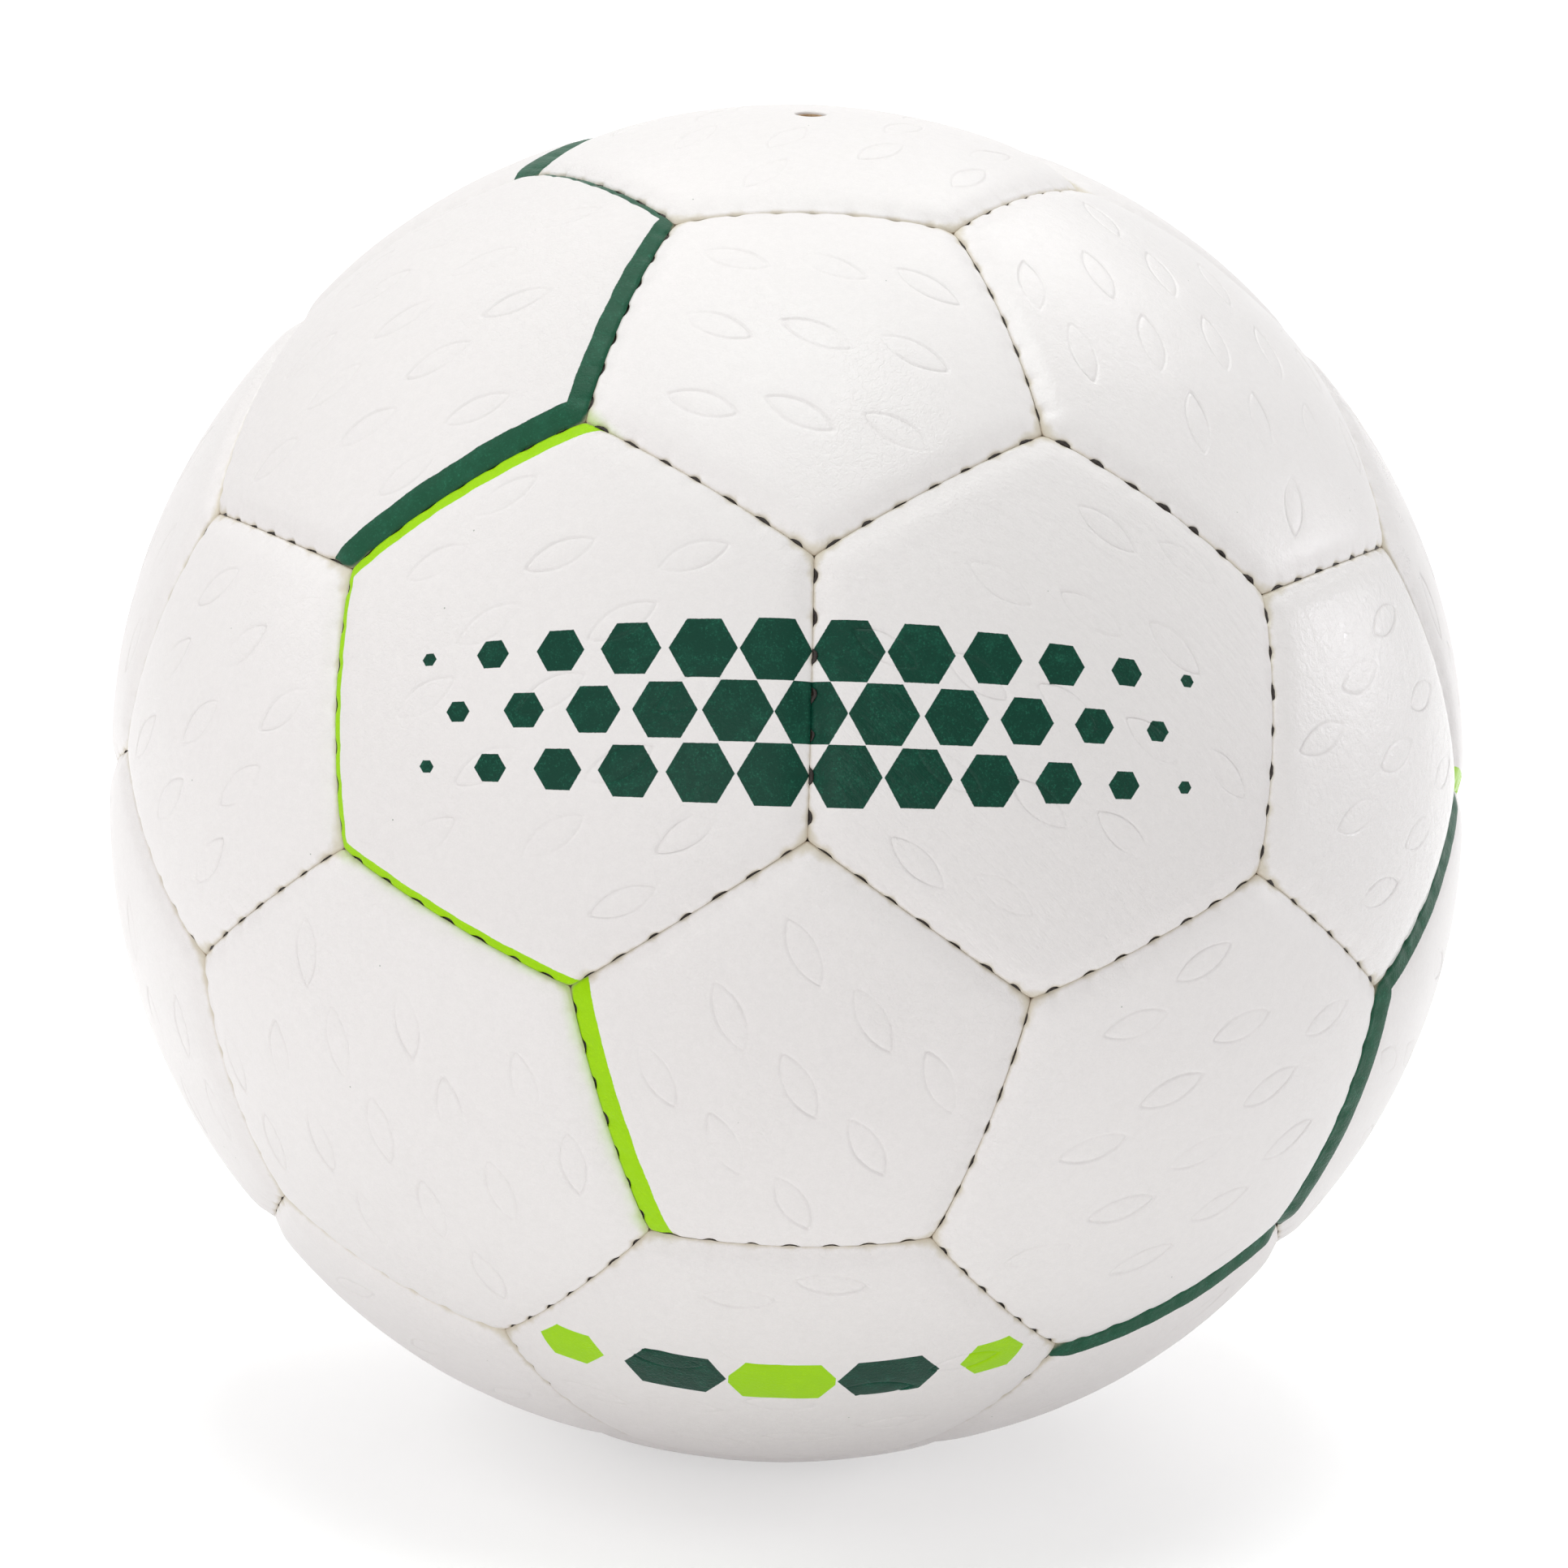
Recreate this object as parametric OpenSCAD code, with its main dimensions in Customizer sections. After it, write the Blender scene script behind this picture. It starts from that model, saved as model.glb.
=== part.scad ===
// A hand-stitched ball of twenty hexagon and twelve pentagon panels over an air-filled bladder.
// The origin is the ball's centre. The valve points up, along Z, and the front of the ball faces -Y.
// Every panel is a coated skin with a woven backing glued under it. Both turn in at the seam, where
// the turned-in edges of two panels stand face to face and a waxed thread laces them together.

/* [Ball] */
// Radius of the ball at the middle of a panel
ball_r = 93.9; // [70:0.1:110]
// How far a panel has dropped below that radius at the middle of each edge
panel_dip = 0.7; // [0.3:0.05:1.2]

/* [Panel skin] */
// Thickness of the coated skin and its foam
skin_t = 1.7; // [1.4:0.05:2.4]
// Radius of the shoulder over which the skin rolls into a seam
shoulder_r = 1.9; // [1.6:0.05:2.6]
// How far the turned-in edge reaches below the ball's radius
turn_in = 6.2; // [5.8:0.05:7.4]
// Gap between the two turned-in edges that face each other in a seam
seam_gap = 0.1; // [0.06:0.01:0.2]

/* [Woven backing] */
// Thickness of the layers of cloth glued under the skin
backing_t = 1.2; // [0.8:0.05:1.5]
// Thickness of the glue between skin and backing
glue_t = 0.08; // [0.06:0.01:0.15]

/* [Seam thread] */
// Thickness of the waxed thread
thread_d = 0.8; // [0.6:0.05:1]
// Distance from one stitch to the next, before it is evened out over the seam
stitch_pitch = 5.2; // [4.6:0.05:7]
// Length of a stitch that shows in the seam
stitch_length = 2; // [1.6:0.05:2.2]
// How far the thread rises and falls to each side of its middle line
stitch_wave = 0.5; // [0.3:0.05:0.6]
// Clearance round the thread in its slot
thread_clearance = 0.07; // [0.05:0.01:0.15]
// How far the top of a stitch stands over the foot of the shoulders
stitch_proud = 0.45; // [0.2:0.05:0.8]
// Seam left free of thread at each corner, where three seams meet
corner_margin = 0.5; // [0.5:0.05:2]

/* [Bladder] */
// Wall thickness of the bladder
bladder_wall = 1.1; // [0.7:0.05:2]
// Clearance between the bladder and the turned-in edges
bladder_clearance = 0.3; // [0.2:0.05:0.5]

/* [Valve] */
// Diameter of the passage for the needle
needle_bore_d = 2.2; // [2:0.05:2.4]
// Wall of the valve's neck round the needle passage
neck_wall = 0.75; // [0.6:0.05:1]
// Clearance round the neck in the hole through the panel
neck_clearance = 0.25; // [0.2:0.05:0.5]
// How far the neck ends below the ball's surface
neck_recess = 0.5; // [0.3:0.05:1]
// Depth of the funnel that leads the needle in
funnel_depth = 0.8; // [0.5:0.05:1.2]
// Ledge of the boss round the foot of the neck
boss_ledge = 2.4; // [1.5:0.1:3]
// Width of the flange round the stem that is bonded to the bladder
flange_w = 7.5; // [5:0.5:10]
// Thickness of that flange
flange_t = 0.9; // [0.7:0.05:1.1]
// Diameter of the soft plug that seals round the needle
core_d = 5; // [4.4:0.1:5.6]
// Length of that plug
core_length = 10.5; // [9:0.5:11.5]
// Wall of the stem round the plug
stem_wall = 2; // [1.5:0.1:2.5]
// Thickness of the stem's foot under the plug
stem_floor_t = 2.5; // [1.5:0.1:3]
// Clearance round the plug and between bonded rubber faces
rubber_gap = 0.05; // [0.03:0.01:0.1]
// Width of the slit that the needle pushes open
slit_w = 2.6; // [2.2:0.1:3]
// Opening of that slit at rest
slit_gap = 0.12; // [0.08:0.01:0.2]
// Diameter of the air hole through the stem's foot
air_hole_d = 2; // [1.5:0.1:3]
// Width of the cloth patch glued round the neck under the panel
patch_w = 13; // [10:0.5:16]
// Thickness of that patch
patch_t = 0.6; // [0.4:0.05:0.8]

/* [Hidden] */
$fn = 96;

// A panel's edges lie in planes through the ball's centre. These angles, seen from the ball's centre,
// are those of the twenty-faced solid whose twelve corners are cut off to make the pentagons.
corner_span = atan(2);
hexagon_to_pentagon = asin(2 * sin(corner_span / 2) / sqrt(3));
hexagon_reach = acos(cos(hexagon_to_pentagon) / cos(corner_span / 2));
hexagon_to_hexagon = 2 * hexagon_reach;
pentagon_reach = hexagon_to_pentagon - hexagon_reach;
hexagon_sides = 6;
pentagon_sides = 5;
seam_span = 2 * asin(tan(hexagon_reach) / sqrt(3) / sqrt(1 + pow(tan(hexagon_reach), 2) * 4 / 3));

// Rings of panels, from the valve down: a name, the angle from the valve, and the turns about its axis.
// A turn of zero faces the front.
belt_angle = acos(1 / 3);
belt_turn = acos((cos(hexagon_to_pentagon) - cos(hexagon_to_pentagon) * cos(belt_angle))
                 / (sin(hexagon_to_pentagon) * sin(belt_angle)));
full_turn = 360;
half_turn = full_turn / 2;
quarter_turn = full_turn / 4;
thirds = [0, full_turn / 3, full_turn * 2 / 3];
sixth = full_turn / 6;
upper_belt_turns = [for (t = thirds) for (side = [-1, 1]) t + side * belt_turn];
HEXAGON_RINGS = [
    ["valve_panel", 0, [0]],
    ["upper_hexagon", hexagon_to_hexagon, [for (t = thirds) t + sixth]],
    ["upper_belt_hexagon", belt_angle, upper_belt_turns],
    ["lower_belt_hexagon", half_turn - belt_angle, [for (t = upper_belt_turns) t + half_turn]],
    ["lower_hexagon", half_turn - hexagon_to_hexagon, thirds],
    ["base_hexagon", half_turn, [0]]
];
PENTAGON_RINGS = [
    ["upper_pentagon", hexagon_to_pentagon, thirds],
    ["upper_belt_pentagon", hexagon_to_pentagon + hexagon_to_hexagon, [for (t = thirds) t + sixth]],
    ["lower_belt_pentagon", half_turn - hexagon_to_pentagon - hexagon_to_hexagon, thirds],
    ["lower_pentagon", half_turn - hexagon_to_pentagon, [for (t = thirds) t + sixth]]
];

// Directions from the ball's centre.
function towards(polar, turn) = [sin(polar) * sin(turn), -sin(polar) * cos(turn), cos(polar)];
function unit(v) = v / norm(v);
function ring_directions(ring) = [for (turn = ring[2]) towards(ring[1], turn)];
hexagon_axes = [for (ring = HEXAGON_RINGS) each ring_directions(ring)];
pentagon_axes = [for (ring = PENTAGON_RINGS) each ring_directions(ring)];
valve_axis = hexagon_axes[0];
nearest = cos(hexagon_to_pentagon / 2);
farthest = cos((hexagon_to_hexagon + corner_span) / 2);
function neighbours(axis, axes) = [for (a = axes) if (a * axis > farthest && a * axis < nearest) a];
function leaning(axis, aim) = unit(aim - (aim * axis) * axis);
function seam_middle(hexagon, other) =
    cos(hexagon_reach) * hexagon + sin(hexagon_reach) * leaning(hexagon, other);
function is_first(axis, other) = [for (a = hexagon_axes) if (a == axis || a == other) a][0] == axis;

// Sizes that follow from the driving ones.
overrun = 1;
rim_r = ball_r - turn_in;
thread_r = thread_d / 2;
slot_half = thread_r + thread_clearance;
gap_half = seam_gap / 2;
backing_depth = skin_t + glue_t;
backing_foot_depth = backing_depth + backing_t;
shoulder_overshoot_share = 0.03;
shoulder_overshoot = shoulder_r * shoulder_overshoot_share;
function pillow_shift(reach) =
    (2 * ball_r * panel_dip - pow(panel_dip, 2)) / (2 * (ball_r - (ball_r - panel_dip) * cos(reach)));
function pillow_height(reach, angle) = let (c = pillow_shift(reach))
    c * cos(angle) + sqrt(pow(ball_r - c, 2) - pow(c * sin(angle), 2));
shoulder_width_angle = asin((slot_half + shoulder_r) / ball_r);
function shoulder_foot_r(reach) =
    pillow_height(reach, reach - shoulder_width_angle) + shoulder_overshoot - shoulder_r;
shoulder_foot = min(shoulder_foot_r(hexagon_reach), shoulder_foot_r(pentagon_reach));
thread_line_r = shoulder_foot + stitch_proud - thread_r - stitch_wave;
slot_floor_r = thread_line_r - stitch_wave - thread_r - thread_clearance;
corner_pit_share = 1.7;
corner_pit_r = slot_half * corner_pit_share;

// The thread's stitches: as many as fit, spread evenly over the seam.
thread_foot_r = thread_line_r - stitch_wave - thread_r;
thread_top_r = thread_line_r + stitch_wave + thread_r;
seam_length = ball_r * seam_span * PI / half_turn;
thread_span = seam_span * (1 - 2 * corner_margin / seam_length);
stitches = round((seam_length - 2 * corner_margin) / stitch_pitch);
half_stitch = thread_span / stitches / 2;
dip_depth = 2 * stitch_wave;
dip_half = thread_top_r * sin(half_stitch) - stitch_length / 2;
dip_r = (pow(dip_half, 2) + pow(dip_depth, 2)) / (2 * dip_depth);
seam_facets = 720;

bladder_r = rim_r - bladder_clearance;
bladder_inner_r = bladder_r - bladder_wall;
needle_r = needle_bore_d / 2;
neck_r = needle_r + neck_wall;
valve_hole_r = neck_r + neck_clearance;
neck_top = ball_r - neck_recess;
patch_depth = backing_foot_depth + glue_t;
boss_top = ball_r - patch_depth - patch_t - glue_t;
boss_r = neck_r + boss_ledge;
flange_r = bladder_r + rubber_gap;
core_r = core_d / 2;
chamber_r = core_r + rubber_gap;
chamber_h = core_length + 2 * rubber_gap;
stem_r = core_r + stem_wall;
chamber_top = bladder_inner_r;
stem_bottom = chamber_top - chamber_h - stem_floor_t;
stem_chamfer = stem_wall / 3;
funnel_r = needle_r + neck_wall / 2;

// Colours of the materials.
skin_colour = "#EFECE4";
backing_colour = "#D9D0BF";
thread_colour = "#1C1C1E";
bladder_colour = "#3A3A3C";
valve_colour = "#A98C66";
core_colour = "#8C7049";
patch_colour = "#C9BFAD";

function ring_names(ring) = len(ring[2]) == 1
    ? [ring[0]]
    : [for (i = [0:len(ring[2]) - 1]) str(ring[0], "_", i + 1)];
hexagon_names = [for (ring = HEXAGON_RINGS) each ring_names(ring)];
pentagon_names = [for (ring = PENTAGON_RINGS) each ring_names(ring)];
SHARED_NODES = ["hexagon_backings", "pentagon_backings", "hexagon_seam_threads", "pentagon_seam_threads",
                "bladder", "valve_body", "valve_plug", "valve_patch"];

// Turns a shape so that its Z runs along an axis through the ball's centre and its X leans to an aim.
module stand_on(axis, aim) {
    x = leaning(axis, aim);
    y = cross(axis, x);
    multmatrix([[x.x, y.x, axis.x, 0], [x.y, y.y, axis.y, 0], [x.z, y.z, axis.z, 0], [0, 0, 0, 1]])
        children();
}

// A ball round the origin that carries its poles on Y, where no panel of its own frame lies.
module ball(r) rotate([quarter_turn, 0, 0]) sphere(r);

// A pyramid with its point at the ball's centre whose sides are a panel's seam planes, each moved
// inwards by the same distance.
module seam_wedge(reach, sides, inset) {
    wedge_h = ball_r + overrun;
    translate([0, 0, inset / sin(reach)])
        rotate([0, 0, half_turn / sides])
            cylinder(r1 = 0, r2 = wedge_h * tan(reach) / cos(half_turn / sides), h = wedge_h, $fn = sides);
}

// The space under a panel's surface: its pillowed dome and its turned-in sides, both sunk by one depth.
module panel_space(reach, sides, depth) {
    shift = pillow_shift(reach);
    intersection() {
        translate([0, 0, shift])
            ball(ball_r - shift - depth);
        seam_wedge(reach, sides, gap_half + depth);
    }
}

// Cuts the thread's slot and rolls the skin's shoulder over along one edge, round the ball's centre.
module seam_cutter(reach) {
    foot = shoulder_foot_r(reach);
    shoulder_middle = slot_half + shoulder_r;
    sweep = seam_span + 2 * shoulder_width_angle;
    rotate([0, quarter_turn + reach, 0])
        rotate([0, 0, half_turn - sweep / 2])
            rotate_extrude(angle = sweep)
                difference() {
                    translate([slot_floor_r, -shoulder_middle])
                        square([ball_r + overrun - slot_floor_r, shoulder_middle + overrun]);
                    translate([slot_floor_r - overrun, -shoulder_middle - overrun])
                        square([foot - slot_floor_r + overrun, shoulder_r + overrun]);
                    translate([foot, -shoulder_middle])
                        circle(shoulder_r);
                }
}

// The round pit at one corner of a panel, where the slots of three seams run together.
module corner_cutter(reach, sides) {
    rotate([0, atan(tan(reach) / cos(half_turn / sides)), 0])
        translate([0, 0, slot_floor_r - thread_r])
            cylinder(r = corner_pit_r, h = ball_r);
}

// One panel's skin, with its axis along Z and the middle of one edge over X.
module panel_skin(reach, sides) {
    difference() {
        panel_space(reach, sides, 0);
        ball(rim_r);
        panel_space(reach, sides, skin_t);
        for (k = [0:sides - 1])
            rotate([0, 0, k * full_turn / sides]) {
                seam_cutter(reach);
                rotate([0, 0, half_turn / sides])
                    corner_cutter(reach, sides);
            }
    }
}

// The cloth under one panel, turned in with the skin.
module panel_backing(reach, sides) {
    difference() {
        panel_space(reach, sides, backing_depth);
        ball(rim_r);
        panel_space(reach, sides, backing_foot_depth);
    }
}

module valve_hole() translate([0, 0, bladder_r]) cylinder(r = valve_hole_r, h = ball_r);

module hexagon_skin(axis) {
    color(skin_colour)
        difference() {
            stand_on(axis, neighbours(axis, hexagon_axes)[0]) panel_skin(hexagon_reach, hexagon_sides);
            if (axis == valve_axis) valve_hole();
        }
}

module pentagon_skin(axis) {
    color(skin_colour)
        stand_on(axis, neighbours(axis, hexagon_axes)[0]) panel_skin(pentagon_reach, pentagon_sides);
}

module hexagon_backings() {
    color(backing_colour)
        for (axis = hexagon_axes)
            difference() {
                stand_on(axis, neighbours(axis, hexagon_axes)[0])
                    panel_backing(hexagon_reach, hexagon_sides);
                if (axis == valve_axis) valve_hole();
            }
}

module pentagon_backings() {
    color(backing_colour)
        for (axis = pentagon_axes)
            stand_on(axis, neighbours(axis, hexagon_axes)[0])
                panel_backing(pentagon_reach, pentagon_sides);
}

// The wave of one seam's thread, in the seam's plane round the ball's centre, with its middle on X.
// Between two stitches the thread dips to the slot's floor, and under each stitch it is hollow.
module thread_outline() {
    difference() {
        circle(thread_top_r, $fn = seam_facets);
        circle(thread_foot_r, $fn = seam_facets);
        for (side = [-1, 1])
            rotate([0, 0, side * (thread_span + half_turn) / 2])
                translate([0, -thread_top_r])
                    square([thread_top_r, 2 * thread_top_r]);
        for (i = [0:stitches])
            rotate([0, 0, (2 * i - stitches) * half_stitch])
                translate([thread_foot_r + thread_d + dip_r, 0])
                    circle(dip_r);
        for (i = [0:stitches - 1])
            rotate([0, 0, (2 * i + 1 - stitches) * half_stitch])
                translate([thread_top_r - thread_d - dip_r, 0])
                    circle(dip_r);
    }
}

// The flat waxed thread of one seam, whose middle lies on Z.
module seam_thread() {
    rotate([0, -quarter_turn, 0])
        linear_extrude(thread_d, center = true)
            thread_outline();
}

// Threads the seams from each hexagon to its neighbours of one kind, each seam once.
module seam_threads(neighbour_axes) {
    color(thread_colour)
        for (axis = hexagon_axes)
            for (other = neighbours(axis, neighbour_axes))
                if (is_first(axis, other))
                    stand_on(seam_middle(axis, other), other) seam_thread();
}

module hexagon_seam_threads() seam_threads(hexagon_axes);

module pentagon_seam_threads() seam_threads(pentagon_axes);

module bladder() {
    color(bladder_colour)
        difference() {
            ball(bladder_r);
            ball(bladder_inner_r);
            cylinder(r = stem_r + rubber_gap, h = ball_r);
        }
}

// Half of the valve's outline: the stem with its chamfered foot, the flange, the boss and the neck.
module valve_outline() {
    polygon([[0, stem_bottom], [stem_r - stem_chamfer, stem_bottom], [stem_r, stem_bottom + stem_chamfer],
             [stem_r, flange_r], [boss_r, flange_r], [boss_r, boss_top], [neck_r, boss_top],
             [neck_r, neck_top], [0, neck_top]]);
    intersection() {
        difference() {
            circle(flange_r + flange_t);
            circle(flange_r);
        }
        translate([neck_r, stem_bottom])
            square([stem_r + flange_w - neck_r, ball_r]);
    }
}

module valve_body() {
    color(valve_colour)
        difference() {
            rotate_extrude() valve_outline();
            translate([0, 0, chamber_top])
                cylinder(r = needle_r, h = ball_r);
            translate([0, 0, neck_top - funnel_depth])
                cylinder(r1 = needle_r, r2 = funnel_r, h = funnel_depth);
            translate([0, 0, chamber_top - chamber_h])
                cylinder(r = chamber_r, h = chamber_h);
            translate([0, 0, stem_bottom - overrun])
                cylinder(r = air_hole_d / 2, h = stem_floor_t + overrun);
        }
}

module valve_plug() {
    plug_bottom = chamber_top - rubber_gap - core_length;
    color(core_colour)
        difference() {
            translate([0, 0, plug_bottom])
                cylinder(r = core_r, h = core_length);
            translate([-slit_w / 2, -slit_gap / 2, plug_bottom - overrun])
                cube([slit_w, slit_gap, core_length + 2 * overrun]);
        }
}

module valve_patch() {
    shift = pillow_shift(hexagon_reach);
    color(patch_colour)
        translate([0, 0, shift])
            rotate_extrude()
                intersection() {
                    difference() {
                        circle(ball_r - shift - patch_depth);
                        circle(ball_r - shift - patch_depth - patch_t);
                    }
                    translate([valve_hole_r, 0])
                        square([patch_w, ball_r]);
                }
}

for (i = [0:len(hexagon_names) - 1])
    hexagon_skin(hexagon_axes[i]);
for (i = [0:len(pentagon_names) - 1])
    pentagon_skin(pentagon_axes[i]);
hexagon_backings();
pentagon_backings();
hexagon_seam_threads();
pentagon_seam_threads();
bladder();
valve_body();
valve_plug();
valve_patch();
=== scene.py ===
"""The looks of a hand-stitched handball: thirty-two coated panels, the waxed thread that laces them and the valve.

Every panel and every thread is modelled in the ball's own frame, in metres. The origin is the ball's
centre, the valve points up along Z and the front faces -Y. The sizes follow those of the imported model.
Lengths in the finishes, such as a stripe's width, are in millimetres.
"""

import logging
import math
from dataclasses import dataclass
from enum import Enum
from functools import cached_property
from typing import Any, Sequence

import bpy
import numpy as np
from mathutils import Matrix, Vector
from mathutils.geometry import delaunay_2d_cdt


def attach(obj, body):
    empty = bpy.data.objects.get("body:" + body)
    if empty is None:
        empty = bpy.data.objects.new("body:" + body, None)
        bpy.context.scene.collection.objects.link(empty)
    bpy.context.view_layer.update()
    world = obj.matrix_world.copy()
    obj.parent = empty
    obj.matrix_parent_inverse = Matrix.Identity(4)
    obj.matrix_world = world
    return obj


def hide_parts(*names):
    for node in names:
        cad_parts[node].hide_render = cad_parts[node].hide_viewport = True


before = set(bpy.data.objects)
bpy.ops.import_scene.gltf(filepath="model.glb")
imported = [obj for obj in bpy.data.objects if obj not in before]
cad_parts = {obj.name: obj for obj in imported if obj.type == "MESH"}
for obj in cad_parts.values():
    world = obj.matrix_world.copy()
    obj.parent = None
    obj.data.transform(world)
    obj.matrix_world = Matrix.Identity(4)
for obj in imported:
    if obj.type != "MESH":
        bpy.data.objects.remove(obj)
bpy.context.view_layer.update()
BODY = "root"
MM = 0.001
LOG = logging.getLogger("ball")
Array = np.ndarray
Face = tuple[int, ...]
Tint = tuple[float, float, float]
Colour = tuple[float, float, float, float]

# Angles at the centre of a ball of twenty hexagons and twelve pentagons: between the middles of two pentagons
# that are nearest each other, between those of a hexagon and a pentagon, from a panel's middle to that of its
# edge, and from the valve to the upper belt's hexagons, with their turn from the front.
CORNER_SPAN = math.atan(2)
HEXAGON_TO_PENTAGON = math.asin(2 * math.sin(CORNER_SPAN / 2) / math.sqrt(3))
HEXAGON_REACH = math.acos(math.cos(HEXAGON_TO_PENTAGON) / math.cos(CORNER_SPAN / 2))
PENTAGON_REACH = HEXAGON_TO_PENTAGON - HEXAGON_REACH
BELT_ANGLE = math.acos(1 / 3)
BELT_TURN = math.acos((math.cos(HEXAGON_TO_PENTAGON) - math.cos(HEXAGON_TO_PENTAGON) * math.cos(BELT_ANGLE))
                      / (math.sin(HEXAGON_TO_PENTAGON) * math.sin(BELT_ANGLE)))
THIRDS = (0.0, math.tau / 3, 2 * math.tau / 3)


def smooth_step(low: float, high: float, value: Array) -> Array:
    """Rises smoothly from 0 at low to 1 at high.

    Args:
        low: Where the rise starts.
        high: Where it ends.
        value: The values to map.

    Returns:
        The mapped values, from 0 to 1.
    """
    share = np.clip((value - low) / (high - low), 0, 1)
    return share * share * (3 - 2 * share)


def unit(vector: Array) -> Array:
    """Returns the vector at length one."""
    return vector / np.linalg.norm(vector)


def towards(polar: float, turn: float) -> Array:
    """Gives a direction from the ball's centre.

    Args:
        polar: Angle from the valve's axis.
        turn: Turn about that axis, zero at the front.

    Returns:
        The unit direction.
    """
    return np.array([math.sin(polar) * math.sin(turn), -math.sin(polar) * math.cos(turn), math.cos(polar)])


class PanelKind(Enum):
    """The two kinds of panel, by their sides and the angle from their middle to the middle of an edge."""

    HEXAGON = (6, HEXAGON_REACH)
    PENTAGON = (5, PENTAGON_REACH)

    @property
    def sides(self) -> int:
        """Number of sides."""
        return self.value[0]

    @property
    def reach(self) -> float:
        """Angle from the panel's middle to the middle of an edge."""
        return self.value[1]


@dataclass(frozen=True)
class BallSizes:
    """Sizes of the ball that its panels and threads share, in metres."""

    radius: float = 93.9 * MM
    panel_dip: float = 0.7 * MM
    skin: float = 1.7 * MM
    turn_in: float = 6.2 * MM
    half_gap: float = 0.004 * MM
    slot_half: float = 0.47 * MM
    slot_top: float = 91.0 * MM
    slot_floor: float = 90.1 * MM
    valve_hole: float = 2.1 * MM

    @property
    def edge_radius(self) -> float:
        """Radius of the ball over the middle of a seam."""
        return self.radius - self.panel_dip

    @property
    def rim(self) -> float:
        """Radius at which the turned-in edges end."""
        return self.radius - self.turn_in

    def pillow(self, reach: float, angle: Array) -> Array:
        """Height of a panel's pillowed dome.

        Args:
            reach: Angle from the panel's middle to the middle of an edge.
            angle: Angles from the panel's middle.

        Returns:
            The dome's radius at those angles, before its shoulders are rolled.
        """
        drop = self.edge_radius * math.cos(reach)
        shift = (self.radius ** 2 - self.edge_radius ** 2) / (2 * (self.radius - drop))
        return shift * np.cos(angle) + np.sqrt((self.radius - shift) ** 2 - (shift * np.sin(angle)) ** 2)


@dataclass(frozen=True)
class StitchSizes:
    """Sizes of the stitches that show in a seam, in metres, and the shares between which chance draws them."""

    count: int = 7
    corner_margin: float = 0.5 * MM
    length: float = 2.15 * MM
    place_jitter: float = 0.24 * MM
    length_jitter: float = 0.5 * MM
    length_range: tuple[float, float] = (-1.0, 0.6)
    drawn_in_range: tuple[float, float] = (0.1, 0.8)
    sunk_jitter: float = 0.2
    sunk_shrink: float = 0.5
    bold_growth: float = 0.5
    size_range: tuple[float, float] = (0.66, 1.1)
    lean_range: tuple[float, float] = (0.6, 1.75)
    bulge: float = 0.27 * MM
    bulge_range: tuple[float, float] = (0.6, 1.15)
    fullness: float = 0.75
    notch: float = 0.18 * MM
    notch_end: float = 0.35 * MM
    notch_least: float = 0.02 * MM
    notch_shrink: float = 0.6
    pucker: float = 0.2 * MM
    pucker_half: float = 1.7 * MM
    pucker_reach: float = 1.9 * MM


@dataclass(frozen=True)
class Stitch:
    """One visible stitch: where it lies along its seam, its length, its thickness and how far it bulges.

    It stands out where sunk is below 0 and is hardly seen where it is 1. It is fullest past its middle where lean
    is above 1, and before it where lean is below 1. The lower its fullness, the blunter its ends.
    """

    place: float
    length: float
    size: float
    bulge: float
    sunk: float
    lean: float
    fullness: float

    def swell(self, run: Array) -> Array:
        """Returns how full the stitch is at places along it, counted from its middle."""
        share = np.clip(run / self.length + 0.5, 0, 1)
        return np.sin(math.pi * share ** self.lean) ** self.fullness


@dataclass(frozen=True)
class Seam:
    """One seam: the two panels that it joins, its directions from the ball's centre and its stitches.

    Its stitches bulge over the first panel where bulge_way is 1, and over the second where it is -1.
    """

    first: str
    second: str
    middle: Array
    along: Array
    inward: Array
    bulge_way: float
    stitches: tuple[Stitch, ...]


@dataclass
class PanelPlace:
    """Where one panel lies: its axis, the direction of its first edge and the panel over each edge."""

    name: str
    kind: PanelKind
    axis: Array
    across: Array
    neighbours: tuple[str, ...] = ()

    @property
    def basis(self) -> Array:
        """The panel's own X, Y and Z, as rows."""
        return np.stack([self.across, np.cross(self.axis, self.across), self.axis])

    def edge(self, index: int) -> tuple[Array, Array, Array]:
        """Gives the directions of one edge.

        Args:
            index: Number of the edge.

        Returns:
            The direction of its middle, the one along it and the one inwards, square to its seam's plane.
        """
        turn = index * math.tau / self.kind.sides
        x, y, z = self.basis
        out = math.cos(turn) * x + math.sin(turn) * y
        reach = self.kind.reach
        middle = math.sin(reach) * out + math.cos(reach) * z
        along = math.cos(turn) * y - math.sin(turn) * x
        return middle, along, math.sin(reach) * z - math.cos(reach) * out


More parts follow.
